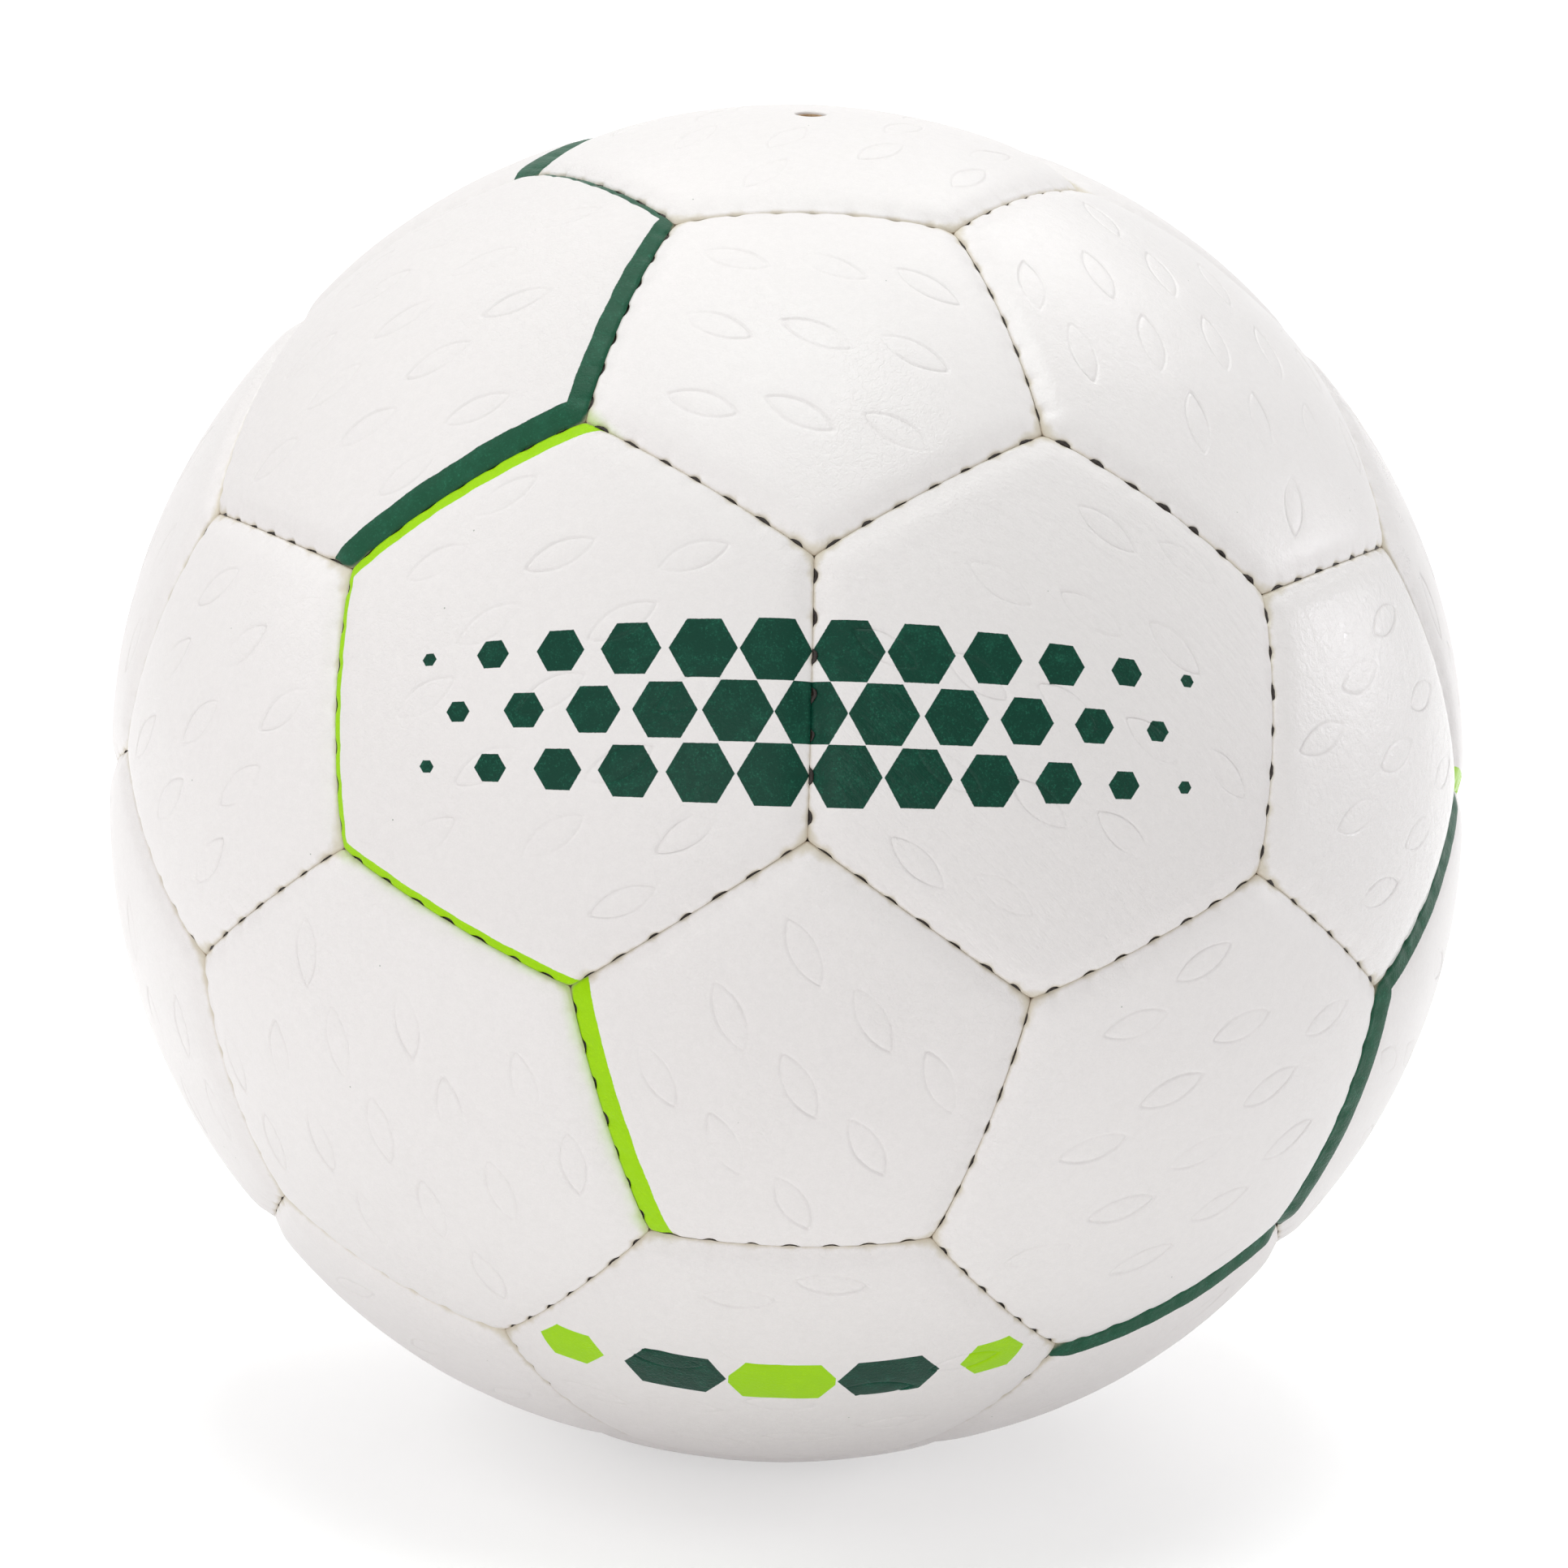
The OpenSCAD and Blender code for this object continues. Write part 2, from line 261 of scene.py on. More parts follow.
class BallLayout:
    """Places the panels in rings from the valve down, finds their seams and draws the stitches.

    RINGS gives each ring's name, kind, angle from the valve and turns. DRAWN_IN says how deep the seams in front
    lie, from -0.4 for the boldest stitches to 1 for hidden ones. Stitches bulge over the panel that lies further
    along BULGE_WAY.
    """

    RINGS = (
        ("valve_panel", PanelKind.HEXAGON, 0.0, (0.0,)),
        ("upper_hexagon", PanelKind.HEXAGON, 2 * HEXAGON_REACH, tuple(t + math.pi / 3 for t in THIRDS)),
        ("upper_belt_hexagon", PanelKind.HEXAGON, BELT_ANGLE,
         tuple(t + side * BELT_TURN for t in THIRDS for side in (-1, 1))),
        ("lower_belt_hexagon", PanelKind.HEXAGON, math.pi - BELT_ANGLE,
         tuple(t + side * BELT_TURN + math.pi for t in THIRDS for side in (-1, 1))),
        ("lower_hexagon", PanelKind.HEXAGON, math.pi - 2 * HEXAGON_REACH, THIRDS),
        ("base_hexagon", PanelKind.HEXAGON, math.pi, (0.0,)),
        ("upper_pentagon", PanelKind.PENTAGON, HEXAGON_TO_PENTAGON, THIRDS),
        ("upper_belt_pentagon", PanelKind.PENTAGON, HEXAGON_TO_PENTAGON + 2 * HEXAGON_REACH,
         tuple(t + math.pi / 3 for t in THIRDS)),
        ("lower_belt_pentagon", PanelKind.PENTAGON, math.pi - HEXAGON_TO_PENTAGON - 2 * HEXAGON_REACH, THIRDS),
        ("lower_pentagon", PanelKind.PENTAGON, math.pi - HEXAGON_TO_PENTAGON,
         tuple(t + math.pi / 3 for t in THIRDS)),
    )
    DRAWN_IN = {
        ("upper_belt_hexagon_1", "upper_pentagon_1"): 0.15,
        ("upper_belt_hexagon_2", "upper_pentagon_1"): 0.3,
        ("upper_belt_hexagon_1", "upper_belt_hexagon_2"): -0.4,
        ("upper_belt_hexagon_1", "upper_hexagon_3"): 0.95,
        ("upper_hexagon_3", "upper_pentagon_1"): 0.55,
        ("upper_hexagon_1", "upper_pentagon_1"): 0.4,
        ("upper_belt_hexagon_2", "upper_hexagon_1"): -0.35,
        ("upper_belt_hexagon_2", "upper_belt_pentagon_1"): -0.15,
        ("upper_belt_pentagon_1", "upper_hexagon_1"): 0.1,
        ("upper_pentagon_1", "valve_panel"): 1.0,
        ("upper_hexagon_1", "valve_panel"): 0.75,
        ("upper_hexagon_3", "valve_panel"): 0.4,
        ("upper_belt_hexagon_1", "upper_belt_pentagon_3"): 1.0,
        ("lower_belt_hexagon_4", "upper_belt_hexagon_1"): 0.55,
        ("lower_belt_pentagon_1", "upper_belt_hexagon_1"): 0.62,
        ("lower_belt_pentagon_1", "upper_belt_hexagon_2"): 0.5,
        ("lower_belt_hexagon_5", "upper_belt_hexagon_2"): 0.45,
        ("lower_belt_hexagon_4", "lower_belt_pentagon_1"): 0.75,
        ("lower_belt_hexagon_5", "lower_belt_pentagon_1"): 0.5,
        ("lower_belt_pentagon_1", "lower_hexagon_1"): 0.7,
        ("lower_belt_hexagon_4", "lower_hexagon_1"): 0.35,
        ("lower_belt_hexagon_5", "lower_hexagon_1"): 0.4,
        ("upper_belt_pentagon_3", "upper_hexagon_3"): 0.35,
        ("lower_belt_hexagon_4", "upper_belt_pentagon_3"): 0.5,
        ("lower_belt_hexagon_5", "upper_belt_pentagon_1"): 0.45,
        ("lower_belt_hexagon_5", "lower_belt_hexagon_6"): 1.0,
        ("lower_belt_hexagon_5", "lower_pentagon_1"): 1.0,
    }
    BULGE_WAY = (0.5, 0, 1)
    SEED = 7

    def __init__(self, sizes: BallSizes, stitches: StitchSizes) -> None:
        """Works out every panel and seam.

        Args:
            sizes: Sizes of the ball.
            stitches: Sizes of its stitches.
        """
        self.sizes = sizes
        self.stitch_sizes = stitches
        self.random = np.random.default_rng(self.SEED)
        self.places: dict[str, PanelPlace] = {}
        self.seams: dict[frozenset[str], Seam] = {}
        self._place_panels()
        self._join_panels()
        for place in self.places.values():
            self._find_seams(place)

    @cached_property
    def seam_half(self) -> float:
        """Half the length of a seam, along the ball."""
        across = math.tan(HEXAGON_REACH) * math.tan(math.pi / 6)
        to_corner = math.tan(HEXAGON_REACH) / math.cos(math.pi / 6)
        return self.sizes.edge_radius * math.asin(across / math.sqrt(1 + to_corner ** 2))

    def _place_panels(self) -> None:
        """Names each panel after its ring and gives it its axis."""
        for ring, kind, polar, turns in self.RINGS:
            for number, turn in enumerate(turns, start=1):
                name = ring if len(turns) == 1 else f"{ring}_{number}"
                self.places[name] = PanelPlace(name, kind, towards(polar, turn), np.zeros(3))

    def _join_panels(self) -> None:
        """Turns each panel's first edge to one of its neighbours, drawn by chance, and lists the others in order."""
        nearest = math.cos((2 * HEXAGON_REACH + CORNER_SPAN) / 2)
        for place in self.places.values():
            near = [p for p in self.places.values() if p is not place and p.axis @ place.axis > nearest]
            hexagons = [p for p in near if p.kind is PanelKind.HEXAGON]
            first = hexagons[self.random.integers(len(hexagons))]
            place.across = unit(first.axis - (first.axis @ place.axis) * place.axis)
            x, y, _ = place.basis
            slack = 0.01
            near.sort(key=lambda p: (math.atan2(p.axis @ y, p.axis @ x) + slack) % math.tau)
            place.neighbours = tuple(p.name for p in near)

    def _find_seams(self, place: PanelPlace) -> None:
        """Draws the stitches of each of a panel's seams, unless its neighbour has them already.

        Args:
            place: The panel.
        """
        sizes = self.stitch_sizes
        pitch = 2 * (self.seam_half - sizes.corner_margin) / sizes.count
        for index, other in enumerate(place.neighbours):
            key = frozenset((place.name, other))
            if key in self.seams:
                continue
            middle, along, inward = place.edge(index)
            rise = (place.axis - self.places[other].axis) @ self.BULGE_WAY
            drawn_in = self.DRAWN_IN.get((min(key), max(key)), self.random.uniform(*sizes.drawn_in_range))
            stitches = tuple(self._draw_stitch((number - (sizes.count - 1) / 2) * pitch, drawn_in)
                             for number in range(sizes.count))
            self.seams[key] = Seam(place.name, other, middle, along, inward, 1.0 if rise > 0 else -1.0, stitches)

    def _draw_stitch(self, place: float, drawn_in: float) -> Stitch:
        """Draws one stitch by chance.

        Args:
            place: Its even place along the seam.
            drawn_in: How far the seam as a whole is drawn in, from 0 to 1.

        Returns:
            The stitch.
        """
        sizes, chance = self.stitch_sizes, self.random.uniform
        sunk = drawn_in + sizes.sunk_jitter * chance(-1, 1)
        bold = 1 - sizes.bold_growth * min(sunk, 0)
        return Stitch(
            place=place + sizes.place_jitter * chance(-1, 1),
            length=sizes.length + sizes.length_jitter * chance(*sizes.length_range),
            size=chance(*sizes.size_range) * bold,
            bulge=sizes.bulge * chance(*sizes.bulge_range) * (1 - sizes.sunk_shrink * sunk) * bold,
            sunk=sunk,
            lean=chance(*sizes.lean_range),
            fullness=sizes.fullness,
        )

    def seam_of(self, place: PanelPlace, index: int) -> tuple[Seam, float]:
        """Finds the seam at one edge of a panel.

        Args:
            place: The panel.
            index: Number of the edge.

        Returns:
            The seam, and 1 if it runs the way the panel's edge does or -1 if it runs the other way.
        """
        seam = self.seams[frozenset((place.name, place.neighbours[index]))]
        return seam, 1.0 if seam.first == place.name else -1.0

    def edge_between(self, panel: str, over: str) -> tuple[Array, Array]:
        """Gives the directions of the edge between two panels.

        Args:
            panel: The panel that the edge belongs to.
            over: The panel on its other side.

        Returns:
            The direction inwards from the edge, and the one along it, counter-clockwise from outside.
        """
        place = self.places[panel]
        _, along, inward = place.edge(place.neighbours.index(over))
        return inward, along


def add_object(name: str, data: bpy.types.ID) -> bpy.types.Object:
    """Adds an object to the scene.

    Args:
        name: Its name.
        data: Its mesh, lamp or camera.

    Returns:
        The new object.
    """
    added = bpy.data.objects.new(name, data)
    bpy.context.scene.collection.objects.link(added)
    return added


def make_piece(name: str, points: Array, faces: Sequence[Face], material: bpy.types.Material, replaces: str) -> bpy.types.Object:
    """Makes one piece of the ball and lets it ride on its body.

    Args:
        name: Name of the piece.
        points: Its vertices, in the ball's frame.
        faces: Its faces, as numbers of vertices.
        material: Its finish.
        replaces: The solid that it stands for.

    Returns:
        The new object.
    """
    mesh = bpy.data.meshes.new(name)
    mesh.from_pydata(points.tolist(), [], faces)
    mesh.update()
    mesh.shade_smooth()
    mesh.materials.append(material)
    piece = add_object(name, mesh)
    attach(piece, BODY)
    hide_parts(replaces)
    LOG.info("%s: %d vertices, %d faces", name, len(points), len(faces))
    return piece


def strips(rows: Sequence[Array]) -> list[Face]:
    """Joins closed rows of as many vertices with strips of faces.

    Args:
        rows: Vertices of each row, from the outermost to the innermost.

    Returns:
        The faces, which face outwards where the rows run counter-clockwise.
    """
    faces: list[Face] = []
    for outer, inner in zip(rows, rows[1:]):
        next_outer, next_inner = np.roll(outer, -1), np.roll(inner, -1)
        faces += zip(outer.tolist(), next_outer.tolist(), next_inner.tolist(), inner.tolist())
    return faces


def thinning_strip(outer: Array, inner: Array) -> list[Face]:
    """Joins a coarse closed row to a row with four times as many vertices.

    Args:
        outer: Vertices of the coarse row, which lies further out.
        inner: Vertices of the fine row.

    Returns:
        The faces, triangles that face the same way as those of strips.
    """
    faces = []
    for i, start in enumerate(outer.tolist()):
        end = int(outer[(i + 1) % len(outer)])
        fine = [int(inner[(4 * i + step) % len(inner)]) for step in range(5)]
        faces += [(start, fine[1], fine[0]), (start, fine[2], fine[1]), (start, end, fine[2]),
                  (end, fine[3], fine[2]), (end, fine[4], fine[3])]
    return faces


def fill(points: Array, loops: Sequence[Array]) -> list[Face]:
    """Fills the space between an outer loop and any holes with triangles.

    Args:
        points: All points of the plane, in millimetres.
        loops: Numbers of the points of the outer loop, and of each hole.

    Returns:
        The triangles, counter-clockwise.
    """
    inside_only, nearest_apart = 1, 1e-7
    edges = [(int(a), int(b)) for loop in loops for a, b in zip(loop, np.roll(loop, -1))]
    vectors = [Vector(point) for point in points.tolist()]
    _, _, triangles, origins, _, _ = delaunay_2d_cdt(vectors, edges, [], inside_only, nearest_apart)
    faces = [tuple(origins[vertex][0] for vertex in triangle) for triangle in triangles]
    holes = [set(loop.tolist()) for loop in loops[1:]]
    return [face for face in faces if not any(hole.issuperset(face) for hole in holes)]


class PlaneWaves:
    """A smooth uneven surface: the sum of many plane waves with directions and lengths drawn by chance."""

    def __init__(self, random: np.random.Generator, count: int, shortest: float, longest: float) -> None:
        """Draws the waves.

        Args:
            random: Where the draws come from.
            count: Number of waves.
            shortest: Shortest wavelength, in metres.
            longest: Longest wavelength, in metres.
        """
        directions = random.normal(size=(count, 3))
        directions /= np.linalg.norm(directions, axis=1, keepdims=True)
        self.waves = directions * math.tau / random.uniform(shortest, longest, (count, 1))
        self.phases = random.uniform(0, math.tau, count)

    def at(self, points: Array) -> Array:
        """Returns the height at each point, mostly from -1 to 1."""
        return np.sin(points @ self.waves.T + self.phases).sum(axis=1) / math.sqrt(2 * len(self.phases))


@dataclass(frozen=True)
class MarkSizes:
    """Sizes of the pressed-in marks: plain almond outlines, in staggered rows, worn in some places.

    Their tips are cut blunt. A mark that comes too near a seam or the valve hole is left out. Wear leaves each
    groove the share depth_mean of its depth, give or take depth_swing, and depth_least at least.
    """

    length: float = 10.4 * MM
    width: float = 3.7 * MM
    tip: float = 0.02 * MM
    groove_half: float = 0.16 * MM
    groove_depth: float = 0.24 * MM
    lip_depth: float = 0.05 * MM
    hollow_depth: float = 0.04 * MM
    flank: float = 0.32 * MM
    spacing: float = 0.34 * MM
    edge_margin: float = 2.9 * MM
    hole_margin: float = 6.3 * MM
    pitch: float = 18.6 * MM
    row_step: float = 9.4 * MM
    reach: int = 4
    lean: float = math.radians(27)
    sway: float = 0.25
    depth_mean: float = 0.62
    depth_swing: float = 0.55
    depth_least: float = 0.12

    @property
    def profile(self) -> tuple[tuple[float, float], ...]:
        """The groove's cross-section: each line's offset from the middle line, outwards, and its depth."""
        side = self.groove_half + self.flank
        return ((side, 0.0), (self.groove_half, self.lip_depth), (0.0, self.groove_depth),
                (-self.groove_half, self.hollow_depth + self.lip_depth), (-side, self.hollow_depth))

    def left(self, wear: Array) -> Array:
        """Returns the share of its depth that wear has left a groove."""
        return np.clip(self.depth_mean + self.depth_swing * wear, self.depth_least, 1)

    def outline(self, offset: float) -> Array:
        """Draws one almond round the origin, offset outwards from its middle line.

        Args:
            offset: How far the outline is moved outwards.

        Returns:
            Its points, in the plane.
        """
        half, rise = self.length / 2, self.width / 2
        radius = (half ** 2 + rise ** 2) / (2 * rise)
        sweep = math.asin((half + offset) / (radius + offset))
        angles = np.linspace(-sweep, sweep, round(2 * sweep * radius / self.spacing) + 1)
        upper = np.stack([(radius + offset) * np.sin(angles),
                          (radius + offset) * np.cos(angles) - (radius - rise)], axis=1)
        upper = upper[upper[:, 1] > self.tip]
        return np.concatenate([upper, upper * (1, -1)])

    def places(self) -> list[tuple[float, float, float]]:
        """Lists the marks of a panel.

        Returns:
            The x and y of their middles, and their turns.
        """
        steps = range(-self.reach, self.reach + 1)
        return [((column + 0.5 * (row % 2)) * self.pitch, row * self.row_step,
                 self.lean + self.sway * math.sin(3 * row)) for row in steps for column in steps]


@dataclass(frozen=True)
class PanelMeshSizes:
    """How finely a panel is meshed and how its shoulders are rolled, in metres.

    Straight and corner are numbers of vertices in one row. Levels are the band's rows by their distance from the
    seam's wall, and grades are further rows with the spacing of their points, all in millimetres. Hole levels
    are the rows of the valve hole's rim, as shares of its width. Lip drops are how far the first two rows of the
    wall lie under its top, and slot shares how far each row of the wall opens for the thread's slot.
    """

    straight: int = 104
    corner: int = 12
    corner_size: float = 0.75 * MM
    corner_power: float = 3.6
    inner_corner_size: float = 3.0 * MM
    inner_corner_power: float = 8.0
    shoulder: float = 0.55 * MM
    shoulder_drop: float = 0.32 * MM
    shoulder_power: float = 1.8
    levels: tuple[float, ...] = (0.0, 0.012, 0.045, 0.095, 0.165, 0.255, 0.37, 0.52, 0.7, 0.92, 1.2)
    roll_off: float = 0.7 * MM
    roll_off_reach: float = 2.15 * MM
    grades: tuple[tuple[float, float], ...] = ((1.55, 0.42), (2.0, 0.5), (2.6, 0.65), (3.35, 0.82))
    spacing: float = 0.95 * MM
    lattice_margin: float = 3.9 * MM
    inner_spacing: float = 6.0 * MM
    mark_clearance: float = 0.57 * MM
    hole_stations: int = 96
    hole_rim: float = 0.35 * MM
    hole_levels: tuple[float, ...] = (1.25, 1.0, 0.55, 0.25, 0.07, 0.0)
    lip_drops: tuple[float, float] = (0.12 * MM, 0.32 * MM)
    slot_foot: float = 0.15 * MM
    slot_shares: tuple[float, ...] = (0.55, 0.95, 1.0, 1.0)
    slot_end: int = 6
    notch_fade: float = 1.5
    swell: float = 0.035 * MM
    ripple: float = 0.012 * MM
    wrinkle: float = 0.028 * MM
    wrinkle_reach: float = 2.4 * MM

    def roll(self, distance: Array) -> Array:
        """Returns how far the shoulder has dropped at a distance from the seam's wall."""
        return self.shoulder_drop * np.clip(1 - distance / self.shoulder, 0, 1) ** self.shoulder_power


class PanelTemplate:
    """The mesh of one kind of panel, before a panel's own stitches and unevenness are worked into it.

    Its vertices lie in this order: the rolled band along the edges, row by row from the seam's wall
    inwards, the field inside it, any valve hole, the walls down the seam and the hidden inner side.
    """

    def __init__(self, kind: PanelKind, ball: BallSizes, sizes: PanelMeshSizes, marks: MarkSizes,
                 with_hole: bool) -> None:
        """Builds the template.

        Args:
            kind: Hexagon or pentagon.
            ball: Sizes of the ball.
            sizes: Sizes of the panel's mesh.
            marks: Sizes of the pressed-in marks.
            with_hole: Whether the valve's hole goes through it.
        """
        self.kind, self.ball, self.sizes, self.marks, self.with_hole = kind, ball, sizes, marks, with_hole
        place = PanelPlace("", kind, np.array([0.0, 0.0, 1.0]), np.array([1.0, 0.0, 0.0]))
        self.edges = [place.edge(index) for index in range(kind.sides)]
        self.directions: list[Array] = []
        self.total = 0
        self.faces: list[Face] = []
        self._build()

    def _between(self, index: int, first: Array, second: Array) -> Array:
        """Finds directions near a corner by their distances from its two seam planes.

        Args:
            index: Number of the edge before the corner.
            first: Distances from that edge's seam plane.
            second: Distances from the next one's.

        Returns:
            The unit directions.
        """
        one, other = self.edges[index][2], self.edges[(index + 1) % self.kind.sides][2]
        lean = one @ other
        a = (first - lean * second) / (1 - lean ** 2) / self.ball.edge_radius
        b = (second - lean * first) / (1 - lean ** 2) / self.ball.edge_radius
        flat = np.outer(a, one) + np.outer(b, other)
        up = unit(np.cross(one, other))
        up = up if up[2] > 0 else -up
        return flat + np.sqrt(1 - (flat ** 2).sum(axis=1))[:, None] * up

    def _along(self, index: int, distance: float, angles: Array) -> Array:
        """Finds directions at one distance from an edge's seam plane.

        Args:
            index: Number of the edge.
            distance: The distance.
            angles: Their places along the edge, as angles about the ball's centre.

        Returns:
            The unit directions.
        """
        middle, along, inward = self.edges[index]
        share = distance / self.ball.edge_radius
        round_ = np.outer(np.cos(angles), middle) + np.outer(np.sin(angles), along)
        return share * inward + math.sqrt(1 - share ** 2) * round_

    def _half_angle(self, index: int, distance: float, corner: float) -> float:
        """Finds how far a row's straight stretch runs to each side of its middle.

        Args:
            index: Number of the edge.
            distance: The row's distance from that edge's seam plane.
            corner: Its distance from the next seam plane where the stretch ends.

        Returns:
            Half the angle that it spans, about the edge's middle.
        """
        middle, along, _ = self.edges[index]
        end = self._between(index, np.array([distance]), np.array([corner]))[0]
        return math.atan2(end @ along, end @ middle)

    def _row(self, distance: float, corner: float, power: float) -> Array:
        """Finds the directions of one row of stations round the panel.

        Args:
            distance: Distance of its straight stretches from the seam planes.
            corner: Size of the rounded corners.
            power: How full the corners are.

        Returns:
            The directions, counter-clockwise from the start of the first edge.
        """
        turn = np.linspace(0, math.pi / 2, self.sizes.corner, endpoint=False)
        left = (corner - distance) / (np.cos(turn) ** power + np.sin(turn) ** power) ** (1 / power)
        rows = []
        for index in range(self.kind.sides):
            half = self._half_angle(index, distance, corner)
            rows.append(self._along(index, distance, np.linspace(-half, half, self.sizes.straight, endpoint=False)))
            rows.append(self._between(index, corner - left * np.cos(turn), corner - left * np.sin(turn)))
        return np.concatenate(rows)

    def _add(self, directions: Array) -> Array:
        """Adds vertices.

        Args:
            directions: Their directions.

        Returns:
            Their numbers.
        """
        numbers = np.arange(self.total, self.total + len(directions))
        self.directions.append(directions)
        self.total += len(directions)
        return numbers

    def _flat(self, directions: Array) -> Array:
        """Returns where directions meet the plane that touches the ball at the panel's middle, in millimetres."""
        return directions[:, :2] / directions[:, 2:] * self.ball.radius / MM

    def _lift(self, plane: Array) -> Array:
        """Returns the directions of points of that plane, given in metres."""
        points = np.concatenate([plane / self.ball.radius, np.ones((len(plane), 1))], axis=1)
        return points / np.linalg.norm(points, axis=1, keepdims=True)

    def _clearance(self, directions: Array) -> Array:
        """Returns the distance of each direction from the nearest seam plane."""
        return np.min([self.ball.edge_radius * (directions @ edge[2]) for edge in self.edges], axis=0)

    def _lattice(self, spacing: float, margin: float) -> Array:
        """Lays an even lattice of directions over the panel.

        Args:
            spacing: Distance from one point to the next.
            margin: Least distance from the seam planes.

        Returns:
            The directions.
        """
        reach = self.ball.radius * math.tan(self.kind.reach) / math.cos(math.pi / self.kind.sides)
        steps = int(reach / spacing) + 1
        rows = np.arange(-steps, steps + 1)
        x, y = np.meshgrid(rows, rows)
        plane = np.stack([(x + 0.5 * (y % 2)).ravel(), (y * math.sqrt(3) / 2).ravel()], axis=1) * spacing
        directions = self._lift(plane)
        return directions[self._clearance(directions) > margin]

    def _mark_points(self) -> tuple[Array, Array]:
        """Lays out the pressed-in marks.

        Returns:
            The points of their grooves in the plane, and how deep each lies.
        """
        marks = self.marks
        points, depths = [], []
        for x, y, turn in marks.places():
            spin = np.array([[math.cos(turn), math.sin(turn)], [-math.sin(turn), math.cos(turn)]])
            lines = [marks.outline(offset) @ spin + (x, y) for offset, _ in marks.profile]
            if self._clearance(self._lift(lines[0])).min() < marks.edge_margin:
                continue
            if self.with_hole and np.hypot(*lines[0].T).min() < marks.hole_margin:
                continue
            points += lines
            depths += [np.full(len(line), depth) for line, (_, depth) in zip(lines, marks.profile)]
        return np.concatenate(points), np.concatenate(depths)

    def _field(self) -> tuple[Array, Array]:
        """Lays out the points of the panel's field.

        Returns:
            Their directions, and how deep a mark's groove lies at each.
        """
        sizes = self.sizes
        parts = []
        for level, spacing in sizes.grades:
            distance = level * MM + self.ball.half_gap
            for index in range(self.kind.sides):
                half = self._half_angle(index, distance, distance)
                count = round(2 * half * self.ball.edge_radius / (spacing * MM))
                parts.append(self._along(index, distance, np.linspace(-half, half, count, endpoint=False)))
        parts.append(self._lattice(sizes.spacing, sizes.lattice_margin + self.ball.half_gap))
        field = np.concatenate(parts)
        marks, depths = self._mark_points()
        plane = self._flat(field) * MM
        at_once = 500
        near = np.concatenate([
            np.sqrt(((plane[i:i + at_once, None] - marks[None]) ** 2).sum(axis=2)).min(axis=1)
            for i in range(0, len(plane), at_once)
        ])
        keep = near > sizes.mark_clearance
        if self.with_hole:
            keep &= np.hypot(*plane.T) > self.ball.valve_hole + sizes.hole_rim + sizes.spacing / 2
        field = field[keep]
        return (np.concatenate([field, self._lift(marks)]),
                np.concatenate([np.zeros(len(field)), depths]))

    def _circle(self, radius: float) -> Array:
        """Returns the directions of a circle of stations round the panel's middle."""
        turns = np.linspace(0, math.tau, self.sizes.hole_stations, endpoint=False)
        return self._lift(radius * np.stack([np.cos(turns), np.sin(turns)], axis=1))

    def _build(self) -> None:
        """Adds every row and fills in the faces."""
        sizes, ball = self.sizes, self.ball
        gap = ball.half_gap
        corner = sizes.corner_size + gap
        outline = [self._row(level * MM + gap, corner + level * MM, sizes.corner_power) for level in sizes.levels]
        self.band = [self._add(row) for row in outline]
        field, self.groove = self._field()
        self.field = self._add(field)
        self.hole_rows: list[Array] = []
        if self.with_hole:
            self.hole_rows = [self._add(self._circle(ball.valve_hole + share * sizes.hole_rim))
                              for share in sizes.hole_levels]
        self.surface = self.total
        hole = self.hole_rows[:1]
        self._fill_surface(np.concatenate([self.band[-1], self.field, *hole]), [self.band[-1], *hole])
        self.faces += strips(self.band)
        self._build_walls(outline[0], corner)
        self._build_inside()

    def _fill_surface(self, used: Array, loops: list[Array]) -> None:
        """Fills the field inside the band.

        Args:
            used: Numbers of the vertices that take part.
            loops: The loops that bound the field.
        """
        directions = np.concatenate(self.directions)
        at = {int(number): i for i, number in enumerate(used)}
        local = [np.array([at[int(v)] for v in loop]) for loop in loops]
        self.faces += [tuple(int(used[v]) for v in face) for face in fill(self._flat(directions[used]), local)]

    def _build_walls(self, outline: Array, corner: float) -> None:
        """Adds the walls that go down into the seam, with their slot for the thread, and the turned-in rim.

        Args:
            outline: Directions of the row at the top of the wall.
            corner: Size of the rounded corners.
        """
        ball, sizes = self.ball, self.sizes
        self.walls = [self._add(outline) for _ in range(5)]
        self.faces += strips([*self.walls[::-1], self.band[0]])
        inner_row = self._row(ball.half_gap + ball.skin, sizes.inner_corner_size, sizes.inner_corner_power)[::4]
        plain = self._row(ball.half_gap, corner, sizes.corner_power)[::4]
        self.hidden = [self._add(row) for row in (plain, plain, inner_row, inner_row)]
        self.faces += thinning_strip(self.hidden[0], self.walls[-1])
        self.faces += strips(self.hidden[::-1])

    def _build_inside(self) -> None:
        """Closes the hidden inner side with a coarse dome, and joins the valve hole to it."""
        lattice = self._lattice(self.sizes.inner_spacing, self.ball.skin + self.sizes.inner_spacing / 2)
        if self.with_hole:
            lattice = lattice[np.hypot(*(self._flat(lattice) * MM).T) > self.sizes.inner_spacing]
        self.dome = self._add(lattice)
        loops = [self.hidden[-1]]
        if self.with_hole:
            foot = self._add(self._circle(self.ball.valve_hole))
            self.faces += strips([*self.hole_rows, foot])
            self.dome = np.concatenate([self.dome, foot])
            loops.append(foot)
        before = len(self.faces)
        self._fill_surface(np.concatenate([self.hidden[-1], self.dome]), loops)
        self.faces[before:] = [face[::-1] for face in self.faces[before:]]

    @cached_property
    def all_directions(self) -> Array:
        """The nominal direction of every vertex."""
        return np.concatenate(self.directions)


